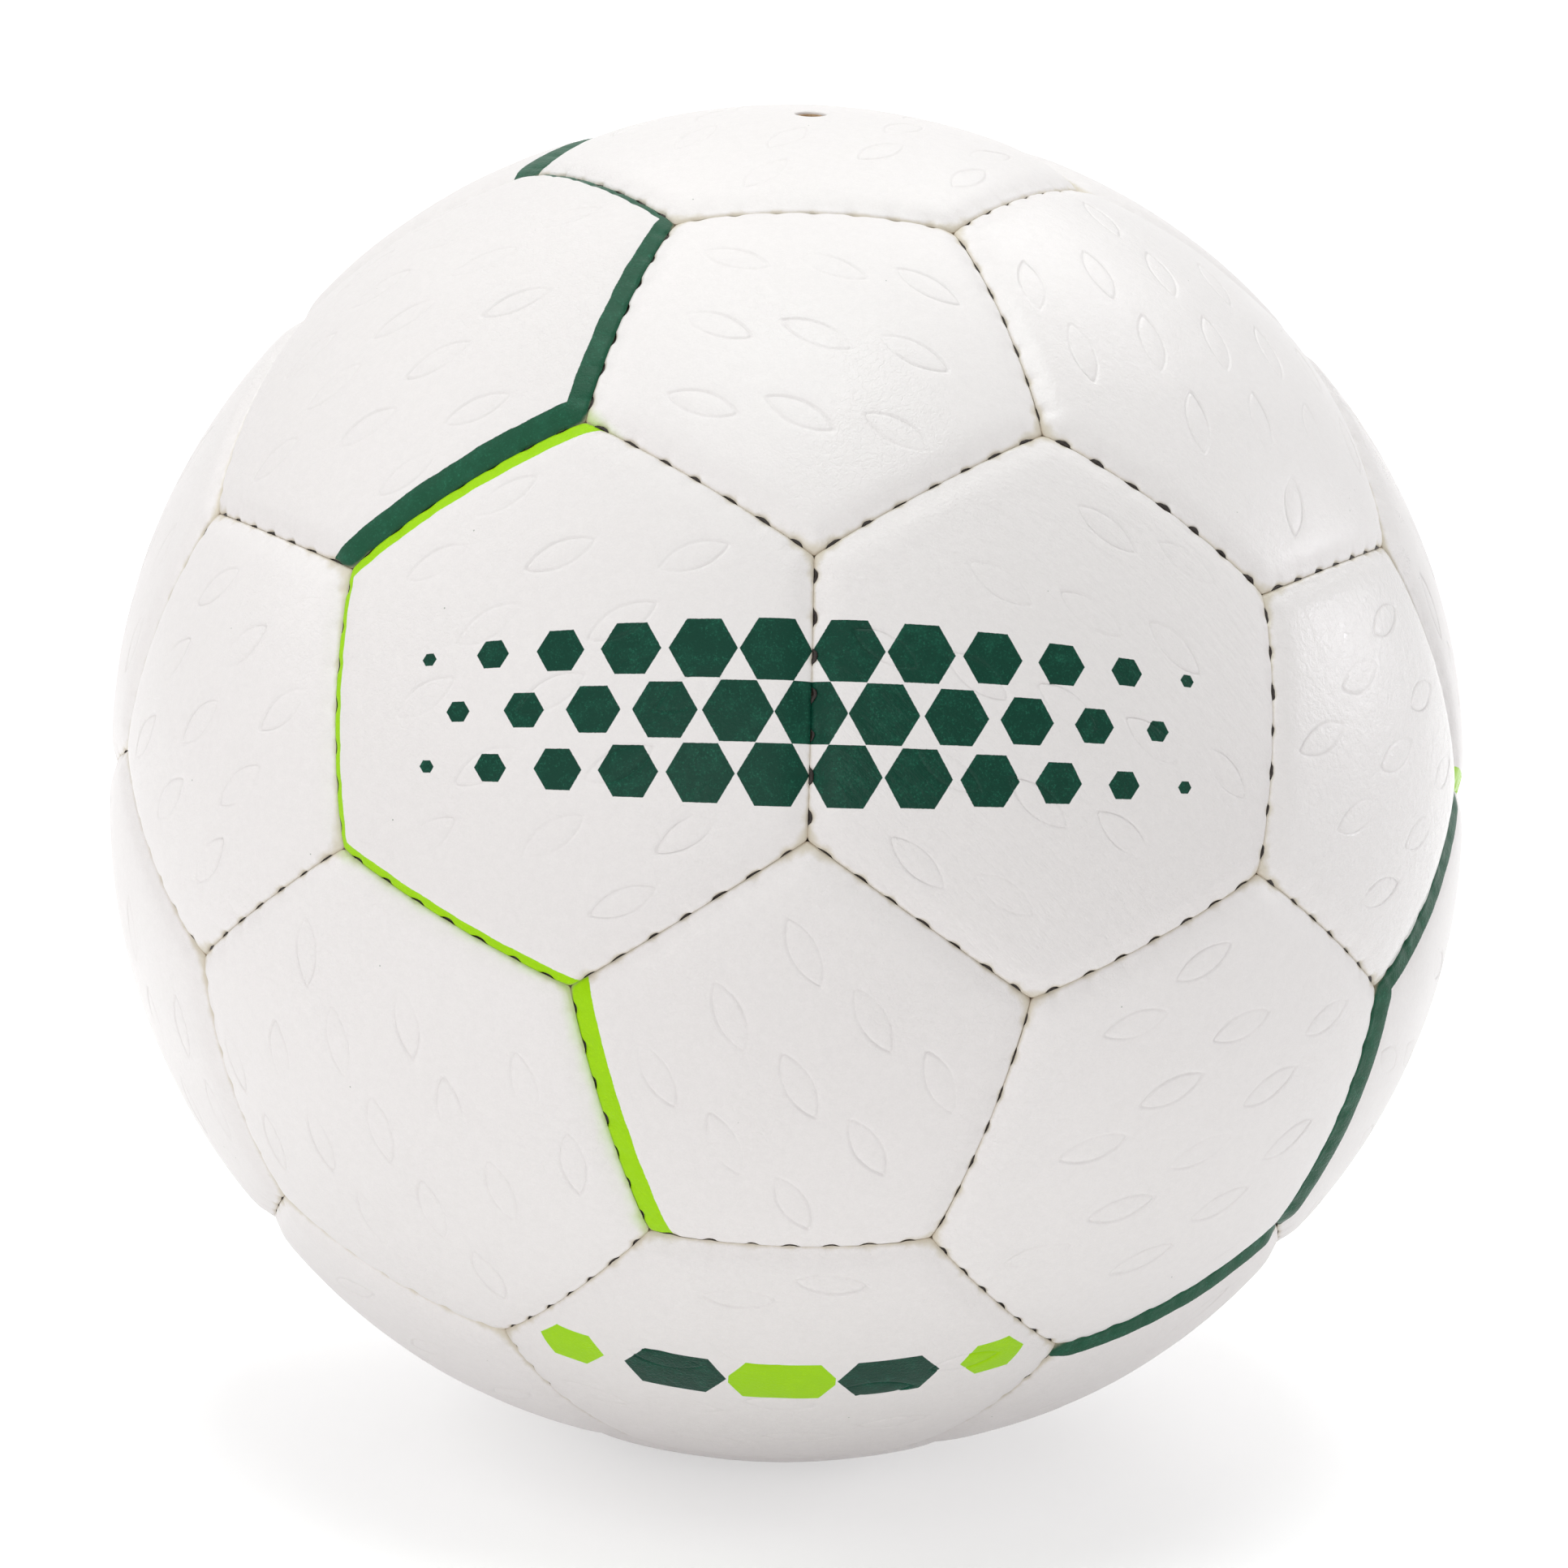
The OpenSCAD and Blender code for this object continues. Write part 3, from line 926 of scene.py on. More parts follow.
class StitchedPanel:
    """One panel of the ball: its template with its own notches, puckers, wrinkles and bulges worked in."""

    def __init__(self, place: PanelPlace, template: PanelTemplate, layout: BallLayout) -> None:
        """Sets up the panel.

        Args:
            place: Where it lies.
            template: The mesh of its kind.
            layout: The ball's layout, which holds its stitches.
        """
        self.place, self.template, self.layout = place, template, layout
        self.ball, self.sizes, self.stitches = layout.sizes, template.sizes, layout.stitch_sizes

    def _edge_coordinates(self, directions: Array) -> tuple[Array, Array]:
        """Measures directions against every edge.

        Args:
            directions: Unit directions in the panel's own frame.

        Returns:
            Their distances from each seam plane, and their places along each edge.
        """
        radius = self.ball.edge_radius
        edges = self.template.edges
        away = np.stack([radius * (directions @ inward) for _, _, inward in edges], axis=1)
        place = np.stack([radius * np.arctan2(directions @ along, directions @ middle)
                          for middle, along, _ in edges], axis=1)
        return away, place

    def _notch(self, index: int, place: Array) -> Array:
        """Finds how far the stitches push the wall of one edge inwards.

        Args:
            index: Number of the edge.
            place: Places along it.

        Returns:
            The push at each place.
        """
        seam, way = self.layout.seam_of(self.place, index)
        sizes = self.stitches
        push = np.zeros(len(place))
        for stitch in seam.stitches:
            run = way * place - stitch.place
            half = stitch.length / 2
            room = sizes.notch * (1 - sizes.notch_shrink * max(stitch.sunk, 0)) * stitch.size
            room = room + way * seam.bulge_way * stitch.bulge * stitch.swell(run)
            inside = 1 - smooth_step(half - sizes.notch_end, half + sizes.notch_end / 2, np.abs(run))
            push = np.maximum(push, np.maximum(room, sizes.notch_least) * inside)
        return push

    def _pucker(self, away: Array, place: Array) -> Array:
        """Finds how far the stitches draw the surface down near the seams.

        Args:
            away: Distances from each seam plane.
            place: Places along each edge.

        Returns:
            The drop at each vertex.
        """
        sizes = self.stitches
        drop = np.zeros(len(away))
        for index in range(self.place.kind.sides):
            seam, way = self.layout.seam_of(self.place, index)
            pull = sum(np.exp(-((place[:, index] - way * stitch.place) / sizes.pucker_half * 2) ** 2)
                       for stitch in seam.stitches)
            drop += pull * np.exp(-(away[:, index] / sizes.pucker_reach) ** 2)
        return sizes.pucker * drop

    def _surface_heights(self, directions: Array, away: Array, place: Array, waves: Sequence[PlaneWaves]) -> Array:
        """Works out the radius of every vertex of the outer surface.

        Args:
            directions: Their directions in the panel's own frame.
            away: Distances from each seam plane.
            place: Places along each edge.
            waves: The swell, the ripple, the wrinkles and the marks' wear.

        Returns:
            Their radii.
        """
        sizes, template = self.sizes, self.template
        angle = np.arccos(np.clip(directions[:, 2], -1, 1))
        height = self.ball.pillow(self.place.kind.reach, angle)
        height -= np.sqrt(((sizes.roll_off * np.exp(-(away / sizes.roll_off_reach) ** 2)) ** 2).sum(axis=1))
        height -= self._pucker(away, place)
        swell, ripple, wrinkle, wear = (wave.at(directions @ self.place.basis * self.ball.radius) for wave in waves)
        near = np.exp(-(away.min(axis=1) / sizes.wrinkle_reach) ** 2)
        # The unevenness only ever lowers the surface, so that the panel stays in its solid's box.
        height += sizes.swell * (swell - 2) + sizes.ripple * (ripple - 1) + sizes.wrinkle * near * (wrinkle - 1)
        for level, row in zip(sizes.levels, template.band):
            height[row] -= sizes.roll(np.array([level * MM]))
        height[template.field] -= template.groove * template.marks.left(wear[template.field])
        for share, row in zip(sizes.hole_levels, template.hole_rows):
            left = 1 - min(share, 1)
            height[row] -= sizes.hole_rim * (1 - math.sqrt(1 - left ** 2))
        return height

    def build(self, material: bpy.types.Material, waves: Sequence[PlaneWaves], slot: str) -> bpy.types.Object:
        """Builds the panel.

        Args:
            material: Its finish.
            waves: The swell, the ripple, the wrinkles and the marks' wear.
            slot: Not used.

        Returns:
            The new object.
        """
        template, ball, sizes = self.template, self.ball, self.sizes
        directions = template.all_directions
        away, place = self._edge_coordinates(directions)
        radius = np.zeros(len(directions))
        top = template.surface
        radius[:top] = self._surface_heights(directions[:top], away[:top], place[:top], waves)
        foot = radius[template.band[0]]
        slot_rows = (*(foot - drop for drop in sizes.lip_drops), ball.slot_top, ball.slot_floor,
                     ball.slot_floor - sizes.slot_foot)
        for row, value in zip(template.walls, slot_rows):
            radius[row] = value
        inner = ball.pillow(self.place.kind.reach, np.arccos(np.clip(directions[:, 2], -1, 1))) - ball.skin
        middle = (ball.slot_floor + ball.rim) / 2
        for row, value in zip(template.hidden, (middle, ball.rim, ball.rim, inner[template.hidden[-1]])):
            radius[row] = value
        radius[template.dome] = inner[template.dome]
        points = directions * radius[:, None]
        self._open_seam(points, place)
        points = points @ self.place.basis
        return make_piece(f"skin.{self.place.name}", points, template.faces, material, self.place.name)

    def _open_seam(self, points: Array, place: Array) -> None:
        """Moves the shoulders and walls away from the seam where the stitches need room.

        Args:
            points: The vertices, changed in place.
            place: Places along each edge.
        """
        sizes, ball = self.sizes, self.ball
        per_edge = sizes.straight + sizes.corner
        slot = ball.slot_half - ball.half_gap
        for index in range(self.place.kind.sides):
            stretch = slice(index * per_edge, index * per_edge + sizes.straight + 1)
            inward = self.template.edges[index][2]
            row = self.template.band[0][stretch]
            push = self._notch(index, place[row, index])
            for level, band in zip(sizes.levels, self.template.band):
                fade = (1 - level / sizes.levels[-1]) ** sizes.notch_fade
                points[band[stretch]] += np.outer(push * fade, inward)
            steps = np.arange(len(row))
            ends = smooth_step(0, sizes.slot_end, np.minimum(steps, steps[::-1]))
            for share, wall in zip(sizes.slot_shares, self.template.walls):
                # Only the rows above the slot proper give way to the stitches.
                room = np.maximum(push * (share < 1), slot * share * ends)
                points[wall[stretch]] += np.outer(room, inward)


@dataclass(frozen=True)
class ThreadSizes:
    """Sizes of the waxed thread, in metres.

    It dips where a stitch ends, by the end margin before the stitch's own end, and falls to its hidden radius over
    the length fall, in the steps falls. Least thickness is what its ends keep of a stitch's thickness.
    """

    radius: float = 0.36 * MM
    waist_share: float = 0.17
    sides: int = 12
    ply_turn: float = 1.7 * MM
    depth: float = 0.2 * MM
    sunk_depth: float = 0.3 * MM
    highest_sunk: float = -0.4
    hidden_radius: float = 90.62 * MM
    end_margin: float = 0.15 * MM
    steps_up: int = 6
    fall: float = 0.55 * MM
    falls: tuple[float, ...] = (0.35, 0.7, 1.0)
    arch: float = 0.05
    least_thickness: float = 0.7


class SeamThreads:
    """The threads of one kind of seam, each a twisted cord that rises to every stitch and dips between them."""

    def __init__(self, layout: BallLayout, sizes: ThreadSizes, mesh: PanelMeshSizes) -> None:
        """Sets up the threads.

        Args:
            layout: The ball's layout, which holds the seams.
            sizes: Sizes of the thread.
            mesh: Sizes of the panels' shoulders, which the thread lies between.
        """
        self.layout, self.sizes, self.mesh = layout, sizes, mesh

    def _path(self, seam: Seam) -> tuple[Array, Array, Array]:
        """Works out the middle line of one seam's thread.

        Args:
            seam: The seam.

        Returns:
            Its points, the outward direction at each and the thickness there, as a share.
        """
        sizes, ball = self.sizes, self.layout.sizes
        rows = []
        falls = np.array(sizes.falls) * sizes.fall
        for stitch in seam.stitches:
            flat = stitch.length / 2 - sizes.end_margin
            rising = np.linspace(-flat, flat, 2 * sizes.steps_up + 1)
            run = np.concatenate([-flat - falls[::-1], rising, flat + falls])
            arch = 1 - smooth_step(flat, flat + sizes.fall, np.abs(run)) - sizes.arch * (run / flat) ** 2
            across = seam.bulge_way * stitch.bulge * stitch.swell(run)
            thick = stitch.size * (sizes.least_thickness + (1 - sizes.least_thickness) * stitch.swell(run))
            sunk = np.full(len(run), stitch.sunk)
            rows.append(np.stack([stitch.place + run, arch, across, thick, sunk], axis=1))
        place, arch, across, thick, sunk = np.concatenate(rows).T
        angle = place / ball.edge_radius
        round_ = np.outer(np.cos(angle), seam.middle) + np.outer(np.sin(angle), seam.along)
        from_panel = np.arccos(np.clip(np.cos(HEXAGON_REACH) * np.cos(angle), -1, 1))
        shoulder = ball.pillow(HEXAGON_REACH, from_panel) - self.mesh.roll_off - self.layout.stitch_sizes.pucker
        top = shoulder - sizes.depth - sizes.sunk_depth * np.maximum(sunk, sizes.highest_sunk) - sizes.radius
        radius = sizes.hidden_radius + (top - sizes.hidden_radius) * arch
        return round_ * radius[:, None] + np.outer(across, seam.inward), round_, thick

    def _tube(self, seam: Seam, start: int) -> tuple[Array, list[Face]]:
        """Sweeps the two-ply cord along one seam.

        Args:
            seam: The seam.
            start: Number of the first vertex.

        Returns:
            Its vertices and faces.
        """
        sizes = self.sizes
        line, outward, thick = self._path(seam)
        run = np.concatenate([[0], np.cumsum(np.linalg.norm(np.diff(line, axis=0), axis=1))])
        tangent = np.gradient(line, axis=0)
        tangent /= np.linalg.norm(tangent, axis=1, keepdims=True)
        side = np.cross(tangent, outward)
        side /= np.linalg.norm(side, axis=1, keepdims=True)
        up = np.cross(side, tangent)
        turn = np.linspace(0, math.tau, sizes.sides, endpoint=False)
        ply = turn[None] - (math.tau * run / sizes.ply_turn)[:, None]
        swell = sizes.radius * thick[:, None] * (1 - sizes.waist_share * np.sin(ply) ** 2)
        points = (line[:, None] + swell[..., None] * (np.cos(turn)[None, :, None] * side[:, None]
                                                      + np.sin(turn)[None, :, None] * up[:, None]))
        rings = np.arange(len(line) * sizes.sides).reshape(len(line), sizes.sides) + start
        faces = strips(rings[::-1])
        faces += [tuple(rings[0].tolist()), tuple(rings[-1][::-1].tolist())]
        return points.reshape(-1, 3), faces

    def build(self, node: str, with_pentagons: bool, material: bpy.types.Material, slot: str) -> bpy.types.Object:
        """Builds the threads of one kind of seam as one piece.

        Args:
            node: The solid that they stand for.
            with_pentagons: Whether the seams are those between a hexagon and a pentagon.
            material: Their finish.
            slot: Not used.

        Returns:
            The new object.
        """
        kinds = {place.name: place.kind for place in self.layout.places.values()}
        points, faces, total = [], [], 0
        for seam in self.layout.seams.values():
            pentagon = PanelKind.PENTAGON in (kinds[seam.first], kinds[seam.second])
            if pentagon is with_pentagons:
                tube, tube_faces = self._tube(seam, total)
                points.append(tube)
                faces += tube_faces
                total += len(tube)
        return make_piece(f"lacing.{node}", np.concatenate(points), faces, material, node)


class Signal:
    """A value that changes over a surface. Arithmetic on it adds Math nodes to its graph."""

    def __init__(self, graph: "Graph", socket: bpy.types.NodeSocket) -> None:
        """Wraps the output socket of a node.

        Args:
            graph: The graph that holds the node.
            socket: Its output socket.
        """
        self.graph, self.socket = graph, socket

    def __add__(self, other: "Signal | float") -> "Signal":
        """Adds."""
        return self.graph.math("ADD", self, other)

    def __sub__(self, other: "Signal | float") -> "Signal":
        """Subtracts."""
        return self.graph.math("SUBTRACT", self, other)

    def __rsub__(self, other: float) -> "Signal":
        """Subtracts from a number."""
        return self.graph.math("SUBTRACT", other, self)

    def __mul__(self, other: "Signal | float") -> "Signal":
        """Multiplies."""
        return self.graph.math("MULTIPLY", self, other)

    def __truediv__(self, other: "Signal | float") -> "Signal":
        """Divides."""
        return self.graph.math("DIVIDE", self, other)

    def largest(self, other: "Signal | float") -> "Signal":
        """Takes the larger of two values."""
        return self.graph.math("MAXIMUM", self, other)

    def least(self, other: "Signal | float") -> "Signal":
        """Takes the smaller of two values."""
        return self.graph.math("MINIMUM", self, other)

    def size(self) -> "Signal":
        """Takes the value without its sign."""
        return self.graph.math("ABSOLUTE", self)

    def step(self, low: "Signal | float", high: "Signal | float") -> "Signal":
        """Maps the value to a smooth rise.

        Args:
            low: Where it is still 0.
            high: Where it reaches 1.

        Returns:
            The mapped value.
        """
        node = self.graph.node("ShaderNodeMapRange", {"interpolation_type": "SMOOTHSTEP"},
                               {"Value": self, "From Min": low, "From Max": high})
        return Signal(self.graph, node.outputs["Result"])


Input = Signal | float | Sequence[float]
Signals = dict[str, Signal]


class Graph:
    """Builds a node tree, for a material or for an effect that several materials share."""

    def __init__(self, tree: bpy.types.NodeTree) -> None:
        """Wraps a node tree."""
        self.tree = tree

    def feed(self, socket: bpy.types.NodeSocket, value: Any) -> None:
        """Links a signal to an input socket, or sets the socket's own value.

        Args:
            socket: The socket.
            value: The signal or the value.
        """
        if isinstance(value, Signal):
            self.tree.links.new(value.socket, socket)
        else:
            socket.default_value = value

    def node(self, kind: str, settings: dict[str, Any] | None = None,
             inputs: dict[str | int, Any] | None = None) -> bpy.types.Node:
        """Adds a node.

        Args:
            kind: The node's type.
            settings: Its properties.
            inputs: What feeds its inputs, by name or number.

        Returns:
            The new node.
        """
        node = self.tree.nodes.new(kind)
        for name, value in (settings or {}).items():
            setattr(node, name, value)
        for name, value in (inputs or {}).items():
            self.feed(node.inputs[name], value)
        return node

    def math(self, operation: str, *values: Signal | float) -> Signal:
        """Adds a Math node and returns its value."""
        node = self.node("ShaderNodeMath", {"operation": operation}, dict(enumerate(values)))
        return Signal(self, node.outputs[0])

    def vector(self, operation: str, inputs: dict[str | int, Any], result: str = "Vector") -> Signal:
        """Adds a Vector Math node and returns one of its outputs."""
        node = self.node("ShaderNodeVectorMath", {"operation": operation}, inputs)
        return Signal(self, node.outputs[result])

    def dot(self, one: Input, other: Input) -> Signal:
        """Returns the dot product of two vectors."""
        return self.vector("DOT_PRODUCT", {0: one, 1: other}, "Value")

    def length(self, vector: Input) -> Signal:
        """Returns the length of a vector."""
        return self.vector("LENGTH", {0: vector}, "Value")

    def place(self) -> Signal:
        """Returns the place on the ball, in millimetres from its centre."""
        source = self.node("ShaderNodeTexCoord")
        return self.vector("SCALE", {0: Signal(self, source.outputs["Object"]), "Scale": 1 / MM})

    def drawn_out(self, place: Signal, way: Sequence[float], share: float) -> Signal:
        """Shrinks one direction of a place, so that a texture on it is drawn out that way.

        Args:
            place: The place.
            way: The direction, at length one.
            share: How far it is shrunk.

        Returns:
            The place to use for the texture.
        """
        back = self.vector("SCALE", {0: way, "Scale": self.dot(place, way) * (share - 1)})
        return self.vector("ADD", {0: place, 1: back})

    def noise(self, vector: Signal, per_mm: Input, detail: float = 2.0, roughness: float = 0.5) -> Signal:
        """Adds a noise texture.

        Args:
            vector: The place.
            per_mm: How many bumps it has in a millimetre.
            detail: How many finer layers lie over them.
            roughness: How strong those are.

        Returns:
            Its value, about 0.5 on average.
        """
        node = self.node("ShaderNodeTexNoise", {}, {"Vector": vector, "Scale": per_mm, "Detail": detail,
                                                    "Roughness": roughness})
        return Signal(self, node.outputs[0])

    def cells(self, vector: Signal, per_mm: Input, feature: str = "F1") -> bpy.types.Node:
        """Adds a Voronoi texture and returns the node."""
        return self.node("ShaderNodeTexVoronoi", {"feature": feature}, {"Vector": vector, "Scale": per_mm})

    def mix(self, share: Input, first: Any, second: Any) -> Signal:
        """Mixes two colours by a share."""
        node = self.node("ShaderNodeMix", {"data_type": "RGBA"}, {0: share, 6: first, 7: second})
        return Signal(self, node.outputs[2])

    def use(self, effect: bpy.types.NodeTree, inputs: dict[str, Any]) -> Signals:
        """Places a shared effect.

        Args:
            effect: The effect's node group.
            inputs: What feeds its inputs.

        Returns:
            Its outputs, by name.
        """
        node = self.node("ShaderNodeGroup", {"node_tree": effect}, inputs)
        return {output.name: Signal(self, output) for output in node.outputs}

    def bump(self, shader: bpy.types.Node, height: Signal) -> None:
        """Feeds a height in millimetres to a shader's normal."""
        node = self.node("ShaderNodeBump", {}, {"Strength": 1.0, "Distance": MM, "Height": height})
        self.feed(shader.inputs["Normal"], Signal(self, node.outputs[0]))

    def seen(self) -> tuple[Signal, Signal]:
        """Tells which rays meet a surface.

        Returns:
            Whether the camera sees it straight, and whether it sees it straight, mirrored or through something.
        """
        path = self.node("ShaderNodeLightPath")
        camera, glossy, through = (Signal(self, path.outputs[f"Is {ray} Ray"])
                                   for ray in ("Camera", "Glossy", "Transmission"))
        return camera, camera.largest(glossy).largest(through)

    def blend(self, share: Signal, first: bpy.types.Node, second: bpy.types.Node) -> bpy.types.Node:
        """Mixes two shaders by a share and returns the node."""
        return self.node("ShaderNodeMixShader", {}, {
            0: share, 1: Signal(self, first.outputs[0]), 2: Signal(self, second.outputs[0])})


def rgb(red: float, green: float, blue: float) -> Colour:
    """Turns a colour written as display values from 0 to 255 into a socket's colour.

    Args:
        red: Red.
        green: Green.
        blue: Blue.

    Returns:
        The linear colour, with full alpha.
    """
    shares = [value / 255 for value in (red, green, blue)]
    linear = [s / 12.92 if s <= 0.04045 else ((s + 0.055) / 1.055) ** 2.4 for s in shares]
    return (*linear, 1.0)


class Effect(Graph):
    """An effect that several materials share: a shader node group with named inputs and outputs."""

    def __init__(self, name: str, inputs: dict[str, Any]) -> None:
        """Starts the group.

        Args:
            name: Its name.
            inputs: The inputs with their usual values, numbers or vectors.
        """
        super().__init__(bpy.data.node_groups.new(name, "ShaderNodeTree"))
        for label, value in inputs.items():
            kind = "NodeSocketFloat" if isinstance(value, (int, float)) else "NodeSocketVector"
            socket = self.tree.interface.new_socket(label, in_out="INPUT", socket_type=kind)
            socket.default_value = value
        entry = self.node("NodeGroupInput")
        self.given = {output.name: Signal(self, output) for output in entry.outputs if output.name}

    def close(self, results: Signals) -> bpy.types.NodeTree:
        """Ends the group.

        Args:
            results: Its outputs, by name.

        Returns:
            The node group.
        """
        for label in results:
            self.tree.interface.new_socket(label, in_out="OUTPUT", socket_type="NodeSocketFloat")
        leave = self.node("NodeGroupOutput")
        for label, signal in results.items():
            self.feed(leave.inputs[label], signal)
        return self.tree


class SurfaceEffects:
    """The effects that several finishes share, each built once as a node group."""

    @cached_property
    def leather(self) -> bpy.types.NodeTree:
        """Fine creased grain of a coated skin: its height in millimetres, and a mottle about 0.5."""
        graph = Effect("leather grain", {
            "Cells per mm": 1.6, "Depth": 0.02, "Swell": 0.02, "Crinkle": 0.0, "Streaks": 0.0})
        place, given = graph.place(), graph.given
        patches = graph.noise(place, per_mm=0.045).step(0.42, 0.62)
        cells = graph.cells(place, given["Cells per mm"], "DISTANCE_TO_EDGE")
        pebble = Signal(graph, cells.outputs[0]).step(0.0, 0.3)
        fine = graph.noise(place, per_mm=4.2, detail=4.0, roughness=0.65)
        broad = graph.noise(place, per_mm=0.9, detail=4.0, roughness=0.6)
        folds = graph.noise(place, per_mm=0.8, detail=3.0, roughness=0.55)
        crease = (1.0 - (folds - 0.5).size() * 14.0).largest(0.0)
        height = (pebble * 0.28 + fine * 1.1 - crease * (patches * 0.8 + 0.15)) * given["Depth"]
        bent = graph.noise(place, per_mm=0.32, detail=3.0, roughness=0.6)
        web = graph.noise(place, per_mm=0.5, detail=5.0, roughness=0.62)
        crinkle = ((web - 0.5).size() * 7.0).least(1.0) + ((bent - 0.5).size() * 5.0).least(1.0) * 0.6
        slanted = graph.drawn_out(place, (0.68, 0.1, -0.73), 0.22)
        streaks = graph.noise(slanted, per_mm=1.1, detail=3.0, roughness=0.6)
        height = height + broad * given["Swell"] + crinkle * given["Crinkle"] + streaks * given["Streaks"]
        return graph.close({"Height": height, "Mottle": broad * 0.4 + fine * 0.6, "Patches": patches})

    @cached_property
    def seam_cream_and_painted_shade(self) -> bpy.types.NodeTree:
        """How deep a point lies in a seam: a mask of the shoulder's foot, tinted cream in the skin, and one of the
        crease itself, where the skin is darkened as painted shade.
        """
        graph = Effect("seam shade", {"Ball radius": 93.9})
        place = graph.place()
        uneven = (graph.noise(place, per_mm=0.9, detail=3.0) - 0.5) * 0.35
        depth = graph.given["Ball radius"] - graph.length(place) + uneven
        # The second mask marks the seam's deepest part, which the skin darkens as painted shade.
        return graph.close({"Foot": depth.step(1.52, 1.98), "Crease": depth.step(1.95, 2.6)})

    @cached_property
    def specks(self) -> bpy.types.NodeTree:
        """A few tiny specks of dust and ink, far apart."""
        graph = Effect("specks", {"Specks per mm": 0.19})
        cells = graph.cells(graph.place(), graph.given["Specks per mm"])
        near = 1.0 - Signal(graph, cells.outputs["Distance"]).step(0.012, 0.03)
        chosen = graph.dot(Signal(graph, cells.outputs["Color"]), (1, 0, 0)).step(0.45, 0.65)
        return graph.close({"Mask": near * chosen * 0.7})

    @cached_property
    def seam_stripe(self) -> bpy.types.NodeTree:
        """A printed stripe along one edge of a panel."""
        graph = Effect("seam stripe", {
            "Inward": (0, 0, 1), "Along": (1, 0, 0), "Start": -24.0, "End": 24.0, "Start width": 3.0,
            "End width": 3.0, "Wobble": 0.6, "Softness": 0.05, "Strength": 1.0})
        place, given = graph.place(), graph.given
        away = graph.dot(place, given["Inward"])
        along = graph.dot(place, given["Along"])
        share = (along - given["Start"]) / (given["End"] - given["Start"])
        width = given["Start width"] + (given["End width"] - given["Start width"]) * share
        wave = (graph.noise(place, per_mm=0.22) - 0.5) * given["Wobble"]
        width = width + wave + (graph.noise(place, per_mm=2.6) - 0.5) * 0.14
        inside = (width - away).step(given["Softness"] * -1.0, given["Softness"])
        started = (along - given["Start"]).step(-0.06, 0.06)
        ended = (given["End"] - along).step(-0.06, 0.06)
        return graph.close({"Mask": inside * started * ended * given["Strength"]})

    @cached_property
    def ink(self) -> bpy.types.NodeTree:
        """How a printed ink covers: fine lighter speckle and clouds of wear."""
        graph = Effect("ink", {"Dots": 0.5})
        place = graph.place()
        grain = graph.noise(place, per_mm=3.1, detail=3.0, roughness=0.7).step(0.5, 0.8)
        cloud = graph.noise(place, per_mm=0.45, detail=3.0, roughness=0.6)
        dots = 1.0 - Signal(graph, graph.cells(place, 1.15).outputs[0]).step(0.05, 0.17)
        return graph.close({
            "Speckle": grain * cloud * 0.9 + dots * cloud * graph.given["Dots"] + (cloud - 0.5) * 0.5})

    @cached_property
    def hexagon_rows(self) -> bpy.types.NodeTree:
        """Staggered rows of printed hexagons that shrink to both sides of their middle."""
        graph = Effect("hexagon rows", {
            "Front": (0, -1, 0), "Right": (1, 0, 0), "Up": (0, 0, 1), "Radius": 93.0, "Pitch": 9.0,
            "Row step": 7.8, "Half span": 50.0, "Cell size": 3.9, "Shrink": 0.7, "Rows": 1.0})
        place, given = graph.place(), graph.given
        front = graph.dot(place, given["Front"])
        u = graph.math("ARCTAN2", graph.dot(place, given["Right"]), front) * given["Radius"]
        v = graph.math("ARCTAN2", graph.dot(place, given["Up"]), front) * given["Radius"]
        row = graph.math("ROUND", v / given["Row step"])
        shift = graph.math("FLOORED_MODULO", row, 2.0) * 0.5
        column = graph.math("ROUND", u / given["Pitch"] - shift) + shift
        away = column.size() * given["Pitch"] / given["Half span"]
        size = given["Cell size"] * (1.0 - away * away * given["Shrink"])
        x = (u - column * given["Pitch"]).size()
        y = (v - row * given["Row step"]).size()
        reach = (x * (math.sqrt(3) / 2) + y * 0.5).largest(y)
        inside = (size - reach + (graph.noise(place, per_mm=2.6) - 0.5) * 0.1).step(-0.05, 0.05)
        within = (1.02 - away).step(0.0, 0.01) * (given["Rows"] + 0.5 - row.size()).step(0.0, 0.01)
        odd = graph.math("FLOORED_MODULO", column + row, 2.0)
        return graph.close({"Mask": inside * within, "Other": odd.step(0.2, 0.8)})

    @cached_property
    def weave(self) -> bpy.types.NodeTree:
        """Plain woven cloth: the height of its threads, and a mask of the gaps between them."""
        graph = Effect("weave", {"Threads per mm": 1.6})
        split = graph.node("ShaderNodeSeparateXYZ", {}, {0: graph.place()})
        x, y, z = (Signal(graph, output) for output in split.outputs)
        turn = graph.given["Threads per mm"] * math.tau
        over = graph.math("SINE", (x + z * 0.5) * turn)
        under = graph.math("SINE", (y - z * 0.5) * turn)
        height = over.size().largest(under.size())
        return graph.close({"Height": height, "Gap": 1.0 - height.step(0.1, 0.5)})


class Ink(Enum):
    """The printed colours, each as its full tone and its worn tone."""

    PINE = (rgb(5, 57, 43), rgb(46, 124, 98))
    GREEN = (rgb(28, 79, 57), rgb(56, 134, 104))
    LIME = (rgb(160, 215, 0), rgb(190, 238, 0))


@dataclass(frozen=True)
class SeamStripe:
    """A printed stripe along one edge of a panel, in millimetres, its places counted from the edge's middle."""

    over: str
    ink: Ink
    start_width: float
    end_width: float
    start: float = -24.0
    end: float = 24.0
    wobble: float = 0.5
    softness: float = 0.05
    strength: float = 1.0


@dataclass(frozen=True)
class HexagonPrint:
    """Printed rows of plain hexagons, in millimetres, round a point in front, given by its angle from the valve."""

    polar: float
    ink: Ink
    other_ink: Ink
    pitch: float
    row_step: float
    half_span: float
    cell_size: float
    shrink: float
    rows: float


